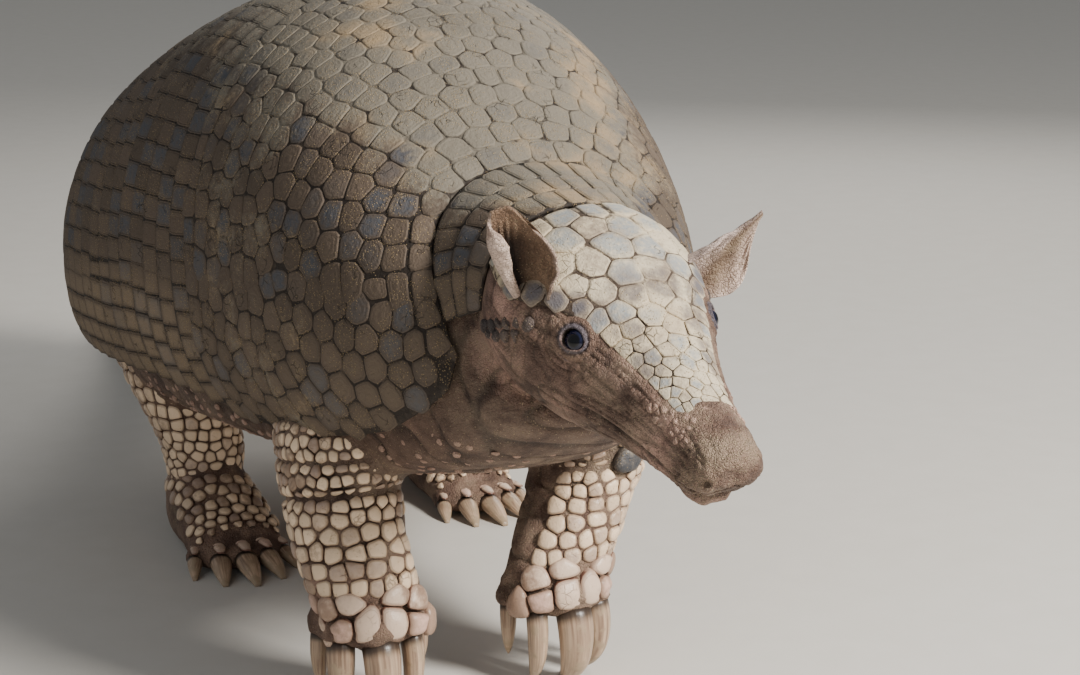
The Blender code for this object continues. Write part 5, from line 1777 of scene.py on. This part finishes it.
@dataclass
class Ears:
    """Each ear, a thick-edged leaf rolled into a funnel. The right one's inner margin curls over."""
    wall: float = 0.0022
    rows: int = 84
    columns: int = 97
    curl = {"left": 0.0, "right": 1.0}
    tip = {"left": 1.0, "right": 1.6}

    def side(self, label: str, wall: float) -> Array:
        """One face of the ear's wall, rows from root to tip.

        Across the ear, a point stands at root + axis * height - opening * radius * cos(turn) + flank * radius
        * sin(turn), where turn is the width from the middle over the roll's radius. The curled margin leaves
        that circle a curl's radius before the edge and runs on round its own small circle.
        """
        side, ear = SIDES[label], EARS[label]
        station = np.linspace(0, len(ear["widths"]) - 1, self.rows)
        widths = np.array(ear["widths"])
        widths[-1, 1:] *= self.tip[label]
        along, inner, outer = np.moveaxis(curve_through(widths)(station), -1, 0)[..., None]
        across = side * np.linspace(-1, 1, self.columns)[None, :]
        inward, outward = np.clip(across, 0, 1), np.clip(-across, 0, 1)
        left, back, up = HEAD_TURN.T
        axis = side * ear["axis"][0] * left - ear["axis"][1] * back + ear["axis"][2] * up
        axis /= np.linalg.norm(axis)
        opening = side * ear["opening"][0] * left - ear["opening"][1] * back
        opening -= axis * (opening @ axis)
        opening /= np.linalg.norm(opening)
        flank = side * np.cross(axis, opening)
        roll = ear["roll"][0] + (ear["roll"][1] - ear["roll"][0]) * smooth(0.0, 0.7, along)
        small = self.curl[label] * np.interp(along, (0.0, 0.35, 0.72, 0.86, 1.0),
                                             (0.0022, 0.0034, 0.0056, 0.0026, 0.0006))
        straight = np.where(small > 0, np.minimum(inward / 0.6, 1) * (inner - small), inward * inner)
        phi = np.where(small > 0, np.maximum(inward - 0.6, 0) / 0.4 * 3.5 * smooth(0.99, 0.82, along), 0.0)
        turn = (straight - outward * outer) / roll
        drop = ear["drop"][0] * smooth(0.0, 1.0, inward) + ear["drop"][1] * smooth(0.0, 1.0, outward)
        high = ear["length"] * (along - smooth(0.25, 1.0, along) * drop)
        root = head_surface(ear["place"], math.radians(ear["angle"]) * side, 0.006)
        wave = 0.0005 * np.sin(along * 23 + across * 5) + 0.0004 * np.sin(across * 31 + along * 9)
        thick = wall * (1 - 0.35 * np.abs(across) ** 6)
        outside = -opening * np.cos(turn)[..., None] + flank * np.sin(turn)[..., None]
        onward = opening * np.sin(turn)[..., None] + flank * np.cos(turn)[..., None]
        radius = (roll + wave * smooth(0.1, 0.4, along) * smooth(1.0, 0.7, along))[..., None]
        bent = np.cos(phi)[..., None] * outside + np.sin(phi)[..., None] * onward
        return (root + axis * high[..., None] + up * (ear["bend"] * along ** 3)[..., None]
                + outside * radius + (bent - outside) * small[..., None] + bent * thick[..., None]
                + opening * roll[..., None] * ear["back"])

    def marks(self, label: str) -> dict:
        """Values that the finish reads: pink rims, painted shade in the hollow and grains of sand."""
        side = SIDES[label]
        along, across = grid(np.linspace(0, 1, self.rows), side * np.linspace(-1, 1, self.columns))
        inside = np.repeat((0.0, 1.0), along.size)
        along, across = np.tile(along.ravel(), 2), np.tile(across.ravel(), 2)
        rim = smooth(0.86, 1.0, np.abs(across))
        if label == "right":
            roll = smooth(0.55, 0.70, across) * smooth(0.90, 0.78, along)
            pink = np.clip(roll + 0.55 * rim + 0.5 * smooth(0.18, 0.05, along) * (across < 0.3), 0, 1)
            # dark here is painted shade deep in the ear's hollow
            dark = np.clip(inside * (0.55 * bump(across, 0.10, 0.6)
                                     + 0.5 * bump(across, 0.15, 0.25)) * smooth(
                0.85, 0.45, along), 0, 1) * (1 - roll)
            return {"pink": pink, "dark": dark, "sand": 0.35 + 0.5 * rim, "dust": 0.35 * (1 - inside),
                    "cool": 0 * along}
        band = bump(across, 0.85 - 1.35 * along, 0.34)
        pink = np.clip(0.9 * (1 - band) * smooth(0.75, 0.45, along) * (across < 0.85 - 1.35 * along)
                       + 0.6 * (1 - band)
                       * (across > 0.85 - 1.35 * along) + 0.4 * rim, 0, 1)
        # dark on the inside of the band is painted shade
        return {"pink": pink, "dark": 0.25 * band * inside, "sand": 0.75 * (1 - band), "dust": 0.6 * band,
                "cool": 0.35 * (1 - band) * (across < 0.85 - 1.35 * along)}

    def build(self, material: Material) -> None:
        """Makes both ears."""
        for label in SIDES:
            points, faces = closed_plate(self.side(label, self.wall / 2), self.side(label, -self.wall / 2))
            place_piece(make_piece(f"ear_flap_{label}", points, faces, material, self.marks(label)), "skin",
                        f"ear_{label}")


@dataclass
class Claws:
    """Front claws as curled tapering horns, and hind nails as blunt wedges."""
    limbs: Limbs
    steps: int = 40
    sides: int = 32

    def rings(self, centre: Array, flank: Array, upward: Array, half: Array, deep: Array) -> Array:
        """Oval rings round each point of a claw's line, half wide along flank and deep along upward."""
        angle = bearings(self.sides)
        return (centre[:, None, :] + flank * (half[:, None] * np.cos(angle))[..., None]
                + upward * (deep[:, None] * np.sin(angle))[..., None])

    def front(self, start: Array, forward: Array, flank: Array, sizes: tuple) -> Array:
        """A front claw's rings along an arc from its start lean to its end lean, down to the floor."""
        half, deep, reach, lean_from, lean_to = sizes
        share = np.linspace(0, 1, self.steps)
        lean = np.radians(lean_from - (lean_from + lean_to) * share)
        step = forward * np.sin(lean)[:, None] - UP * np.cos(lean)[:, None]
        path = np.vstack([np.zeros(3), np.cumsum((step[1:] + step[:-1]) / 2, axis=0)])
        path *= reach * (start[2] - deep * 0.55) / -path[:, 2].min()
        size = 1 - 0.90 * share ** 2.2
        rings = self.rings(start + GAP * step[0] + path, flank, np.cross(flank, step)[:, None, :],
                           half * size, deep * size)
        if reach == 1.0:
            rings[..., 2] -= (rings[..., 2].min() + FLAT) * np.minimum(1, 2 * share)[:, None]
        rings[0] -= step[0] * 0.0045
        return rings

    def nail(self, start: Array, forward: Array, flank: Array, sizes: tuple) -> Array:
        """A hind nail's rings, running forward and down to the floor."""
        half, deep, length = sizes
        share = np.linspace(0, 1, self.steps)
        size = 1 - 0.72 * share ** 1.8
        centre = (start + forward * (GAP + length * share)[:, None]
                  + UP * (share ** 0.7 * (deep * size - start[2] - FLAT))[:, None])
        rings = self.rings(centre, flank, UP, half * size, deep * size)
        rings[0] -= forward * 0.004
        return rings

    def build(self, material: Material) -> None:
        """Makes all twenty."""
        for label in SIDES:
            for kind, digits, make in (("front", self.limbs.fingers(label), self.front),
                                       ("hind", self.limbs.toes(label), self.nail)):
                for number, ((_, end, _, forward, flank), sizes) in enumerate(digits, start=1):
                    rings = make(end, forward, flank, sizes) + MOVE
                    rings[..., 2] = np.maximum(rings[..., 2], 0.0)
                    points, faces = closed_tube(rings)
                    along = np.concatenate([np.repeat(np.linspace(0, 1, self.steps), self.sides), [0, 1]])
                    spin = np.concatenate([np.tile(np.linspace(0, 1, self.sides, endpoint=False), self.steps),
                                           [0, 0]])
                    around = np.abs(spin * 2 - 1)
                    marks = {"along": along, "around": around,
                             "tone": np.full(len(points), number * 1.7 + len(label))}
                    place_piece(make_piece(f"{kind}_horn_{label}_{number}", points, faces, material, marks),
                                "claw_horn", f"{kind}_claw_{label}_{number}")


# ---- scales of the legs, the tail and the belly ------------------------------------------------------------
@dataclass
class Scales:
    """The scales over the skin of the legs, the feet, the tail and the flanks."""
    limbs: Limbs
    coat: float = 0.0010

    def limb(self, name: str, surface: Surface, rows: tuple[Array, Array], material: Material,
             seed: int, side: int, bare: float = 9.0) -> None:
        """Closed rows of pebbles round a limb, none on its inner side from the place bare on.

        Args:
            name: The piece's name.
            surface: The limb's surface.
            rows: The place of each row and its pitch.
            material: The pebbles' finish.
            seed: Picks another scatter.
            side: 1 on the left, -1 on the right.
            bare: Where the bare inner side starts.
        """
        seeds = ringed_seeds(surface, rows[0], lambda _: math.pi, rows[1], 1.0, 0.45, seed)
        inner = -side * wrapped(seeds.second)
        seeds.ghost |= (seeds.first > bare) & (inner > math.radians(10)) & (inner < math.radians(118))
        if name == "front_scales_left":
            place, turn, tall, wide = SLATE
            off = np.hypot((seeds.first - place) / tall, wrapped(seeds.second - turn) / wide)
            bearing = bearings(10)
            seeds = Seeds.joined([Seeds(*(values[off > 1.15]
                                          for values in (seeds.first, seeds.second, seeds.ghost))),
                                  Seeds(place + 0.6 * tall * np.sin(bearing),
                                        turn + 0.6 * wide * np.cos(bearing),
                                        np.ones(10, bool))])

        def marks(points: Array, unwrap: Array) -> dict:
            """Clean at the front of the limb, dusty at its sides and back, where the darker clay also stands
            for painted shade.
            """
            turn = np.abs(unwrap[:, 1] * 2 - 1)
            high = smooth(0.45, 0.35, unwrap[:, 0]) * (bare < 9)
            # darker clay on the sides, the back and the upper front leg: dust and painted shade
            return {"dust": np.clip(0.80 - (0.72 - 0.18 * high) * smooth(0.50, 0.82, turn)
                                    + 0.25 * field(points, 0.03, 8), 0, 1)}
        scutes = ScuteField(surface, height=0.0019, dome=Dome.PEBBLE, gap=0.0006, corner=10.0, sides=16,
                            cap=0.0105, inset=self.coat, uneven=0.3, seed=seed)
        place_piece(lay_scutes(name, scutes, seeds, material, extra_marks=marks), "leg_scale")

    def flanks(self, material: Material) -> None:
        """Rows of small flat scales in the bare skin between the shell and the belly."""
        places = even_places(trunk_surface, 1.4, 8.5, 46, 2.4)
        rng = np.random.default_rng(77)
        place, step = grid(places, np.arange(26))
        angle = edge_angle(place) + 0.10 + step * 0.072 + 0.045 * rng.random(place.shape)
        place = place + 0.08 * (rng.random(place.shape) - 0.5)
        keep = (angle < math.pi - 0.02) & (rng.random(place.shape) > 0.30)
        first = np.concatenate([place[keep], place[keep]])
        second = np.concatenate([angle[keep], -angle[keep]])
        seeds = Seeds(first, second, np.zeros(len(first), bool))

        def flank(where: Array, turn: Array, inset: Array) -> Array:
            """The flank's skin."""
            return trunk_surface(where, turn, inset + flesh_inset(where, turn))
        scutes = ScuteField(flank, height=0.0008, dome=Dome.PEBBLE, gap=0.003, corner=6.0, sides=10,
                            cap=0.0026, inset=self.coat * 1.3, uneven=0.6, seed=77)
        place_piece(lay_scutes("flank_scales", scutes, seeds, material, extra_marks=FaceBumps.marks),
                    "belly_skin")

    def wrist(self, label: str, leg: Surface, material: Material) -> None:
        """The tall glossy scutes over the front claws, split over the largest, and smaller ones behind."""
        side = SIDES[label]

        def surface(place: Array, angle: Array, inset: Array) -> Array:
            """The foot's outside, proud of the leg over the claws and carried on below the wrist."""
            over = np.abs((angle % (2 * math.pi)) - math.pi)
            proud = 0.0046 * smooth(5.2, 6.2, place) + 0.0047 * smooth(6.1, 6.9, place)
            points = leg(place, angle, inset - proud * smooth(1.9, 1.1, over))
            return points - UP * (0.0105 * np.maximum(place - 7, 0))[..., None]
        inward = np.radians((60, 35, 5, -22, -51, -78, -103, -128, -154, -180, 44, 17.5, -35, -62, -90, -116,
                             -142))
        turns = math.pi + side * inward
        tall = np.array((7.1, 6.9, 6.75, 6.70, 6.85, 7.1, 6.6, 6.7, 6.5, 6.6, 6.05, 5.60, 5.75, 6.05, 5.9,
                         5.8, 5.9))
        every = math.pi + np.linspace(-math.pi, math.pi, 24, endpoint=False)
        seeds = Seeds.fenced(tall, turns, np.repeat((5.22, 9.2, 6.3), (24, 24, 2)),
                             np.concatenate([every, every, math.pi + side * np.radians((84, 114))]))

        def marks(points: Array, _: Array) -> dict:
            """Clean over the largest claw, dusty beside it and dustier behind."""
            centre = leg(6.6, math.pi - side * 0.15, 0.0)
            off = np.abs(points[:, 0] - centre[0])
            return {"dust": 0.10 + 0.45 * smooth(0.012, 0.017, off) + 0.35 * smooth(0.022, 0.034, off)}
        scutes = ScuteField(surface, height=0.0034, dome=Dome.PEBBLE, gap=0.0005, corner=8.0, sides=28,
                            cap=0.0185, inset=self.coat, uneven=0.25, seed=88)
        place_piece(lay_scutes(f"wrist_scutes_{label}", scutes, seeds, material, extra_marks=marks),
                    "leg_scale")

    def slate(self, leg: Surface, material: Material) -> None:
        """The one broad dark scute at the left elbow."""
        place, turn, tall, wide = SLATE
        bearing = bearings(10)
        seeds = Seeds.fenced([place], [turn], place + 2 * tall * np.sin(bearing),
                             turn + 2 * wide * np.cos(bearing))
        scutes = ScuteField(leg, height=0.0040, dome=Dome.CROWNED, gap=0.0004, corner=9.0, sides=36,
                            cap=0.0160, inset=0.0, uneven=0.1, seed=91)
        place_piece(lay_scutes("slate_scute", scutes, seeds, material), "leg_scale")

    def knuckles(self, label: str, toes: list, material: Material) -> None:
        """The large scutes on the front of each hind toe, split in two over the widest."""
        parts = []
        for number, ((surface, *_), sizes) in enumerate(toes):
            many = 2 if sizes[0] > 0.0085 else 1
            rows, apart = (1.5, 0.8), 0.52 if many == 2 else 0.0
            first = np.repeat(rows, many)
            second = np.tile(np.linspace(-apart, apart, many), len(rows)) + 0.05
            ghost_a = np.array((3.10, 3.10, -0.60, -0.60) + rows * 2)
            ghost_b = np.array((-0.5, 0.5, -0.5, 0.5) + (1.75 + apart,) * len(rows)
                               + (-1.75 - apart,) * len(rows))
            seeds = Seeds.fenced(first, second, ghost_a, ghost_b)
            scutes = ScuteField(surface, height=0.0022, dome=Dome.PEBBLE, gap=0.0006, corner=9.0, sides=28,
                                cap=0.0150, inset=0.0008, uneven=0.2, seed=80 + number)
            points, faces, marks, unwrap = scutes.build(seeds)
            unwrap = unwrap * np.array((0.18, 0.9)) + np.array((0.2 * number + 0.01, 0.05))
            parts.append((points, faces, marks, unwrap))
        points, faces = merged([(p, f) for p, f, _, _ in parts])
        marks = {key: np.concatenate([m[key] for _, _, m, _ in parts]) for key in parts[0][2]}
        marks["dust"] = np.full(len(points), 0.25)
        unwrap = np.vstack([u for _, _, _, u in parts])
        place_piece(make_piece(f"toe_scutes_{label}", points, faces, material, marks, unwrap), "leg_scale")

    def build(self, paint: dict) -> None:
        """Makes every field of scales, with the finishes by name."""
        leg, knuckle = paint["leg"], paint["knuckle"]
        self.slate(self.limbs.front("left", False), paint["slate"])
        for label, side in SIDES.items():
            self.knuckles(label, self.limbs.toes(label), knuckle)
            rows = (np.array((1.85, 2.10, 2.34, 2.57, 2.80, 3.03, 3.27, 3.56, 3.95, 4.42, 4.92, 5.42)),
                    np.array((8.0, 8.2, 8.5, 8.5, 9.0, 9.5, 10.5, 12.0, 13.5, 14.0, 13.0, 12.0)) / 1000)
            self.wrist(label, self.limbs.front(label), knuckle)
            self.limb(f"front_scales_{label}", self.limbs.front(label), rows, leg, 41 + len(label), side, 2.9)
            rows = np.linspace(1.2, 4.8, 13), np.linspace(0.010, 0.011, 13)
            self.limb(f"hind_scales_{label}", self.limbs.hind(label), rows, leg, 51 + len(label), side)
            foot = hind_foot_surface(side, HIND_FOOT_Y[label])
            places = np.linspace(0.8, 4.9, 12)
            seeds = ringed_seeds(foot, places, lambda _: math.radians(83), 0.0105, 0.5, 0.3, 61)
            scutes = ScuteField(foot, height=0.0020, dome=Dome.PEBBLE, gap=0.0012, corner=8.0, sides=14,
                                cap=0.0062, inset=self.coat, uneven=0.3, seed=61)
            place_piece(lay_scutes(f"sole_scales_{label}", scutes, seeds, leg), "leg_scale")
        self.flanks(paint["bump"])
        places = even_places(tail_surface, 0.5, 6.8, 42, 0.0)
        wide = np.interp(places, (0.5, 3, 6.8), (0.0115, 0.0100, 0.0065))
        seeds = ringed_seeds(tail_surface, places, lambda _: math.pi, wide, 0.5, 0.15, 71)

        def above_floor(place: Array, angle: Array, inset: Array) -> Array:
            """The tail's outside, flat where it would pass under the floor."""
            points = tail_surface(place, angle, inset)
            points[..., 2] = np.maximum(points[..., 2], LOWEST_TAIL_SCALE)
            return points
        scutes = ScuteField(above_floor, height=0.0016, dome=Dome.CROWNED, gap=0.0008, corner=11.0, sides=12,
                            cap=0.010, inset=self.coat, uneven=0.2, seed=71)
        place_piece(lay_scutes("tail_scales", scutes, seeds, paint["tail"]), "tail_scale")


# ---- floor, lights and camera ------------------------------------------------------------------------------
@dataclass
class Studio:
    """A pale floor that curves up behind, soft lights and the camera."""
    target: tuple = (-0.005, -0.4502, 0.235)
    azimuth: float = -25.0
    elevation: float = 13.5
    distance: float = 1.30
    lens: float = 70.0
    half_width: float = 12.0
    reach: tuple = (-9.0, 12.0)
    wall: float = 8.0
    bend: float = 1.6
    steps: int = 106

    def floor(self) -> None:
        """The floor and the wall behind as one swept sheet."""
        material, bench, shader = fresh_material("pale_floor", 0.85, 0.2)
        grain = bench.cloud(bench.place(), 30, 4)
        bench.done(shader, bench.blend(grain, srgb((206, 202, 194)), srgb((214, 210, 203))))
        width, run = grid(np.linspace(-self.half_width, self.half_width, 3),
                          np.linspace(*self.reach, self.steps))
        back = np.clip((run - self.wall) / 3.0, 0, None)
        turn = np.minimum(back, 1) * math.pi / 2
        away = np.minimum(run, self.wall + self.bend * np.sin(turn))
        high = self.bend * (1 - np.cos(turn)) + np.maximum(back - 1, 0) * 3
        points = np.stack([width, away, high], -1).reshape(-1, 3)
        floor = make_piece("floor", points, grid_faces(3, self.steps).tolist(), material, outward=False)

    def light(self, name: str, place: tuple, size: float, power: float, colour: tuple) -> Object:
        """A square soft light that faces the animal's shoulders."""
        lamp = bpy.data.lights.new(name, "AREA")
        lamp.shape, lamp.size, lamp.energy, lamp.color = "SQUARE", size, power, colour
        item = linked(name, lamp)
        item.location = place
        item.rotation_euler = (Vector(self.target) - Vector(place)).to_track_quat("-Z", "Y").to_euler()
        return item

    def build(self) -> None:
        """Sets the stage."""
        self.floor()
        self.light("key", (0.95, -2.1, 1.45), 0.55, 116, (1.0, 0.96, 0.90))
        self.light("fill", (-2.2, -1.6, 0.9), 1.8, 10, (0.92, 0.96, 1.0)).visible_glossy = False
        self.light("rim", (1.4, 1.3, 1.5), 1.2, 18, (1.0, 0.97, 0.93))
        world = bpy.data.worlds.new("soft_room")
        world.use_nodes = True
        world.node_tree.nodes["Background"].inputs[0].default_value = (0.62, 0.64, 0.66, 1.0)
        world.node_tree.nodes["Background"].inputs[1].default_value = 0.46
        bpy.context.scene.world = world
        turn, rise = math.radians(self.azimuth), math.radians(self.elevation)
        away = Vector((math.sin(turn) * math.cos(rise), -math.cos(turn) * math.cos(rise), math.sin(rise)))
        data = bpy.data.cameras.new("camera")
        data.lens, data.sensor_width = self.lens, 36.0
        camera = linked("camera", data)
        camera.location = Vector(self.target) + away * self.distance
        camera.rotation_euler = (-away).to_track_quat("-Z", "Y").to_euler()
        bpy.context.scene.camera = camera


def main() -> None:
    """Builds the model piece by piece."""
    logging.basicConfig(level=logging.INFO, format="%(name)s: %(message)s")
    paint = {part: finish.material() for part, finish in FINISHES.items()}
    limbs = Limbs()
    skin = Skin(limbs=limbs).build(paint["hide"])
    flesh = ["trunk", "neck", "head", "tail_base", "tail_tip"] + [
        f"{part}_{label}" for part in ("front_leg", "front_foot", "hind_leg", "hind_foot") for label in SIDES]
    place_piece(skin, "skin", *flesh)
    Carapace().build(paint["shell"])
    NeckBands().build(paint["shell"])
    HeadShield().build(paint["head"])
    Eyes().build(paint["eye"], paint["hide"])
    FaceBumps().build(paint["bump"], paint["wart"])
    Ears().build(paint["ear"])
    Claws(limbs).build(paint["horn"])
    Scales(limbs).build(paint)
    Studio().build()


if __name__ == "__main__":
    main()
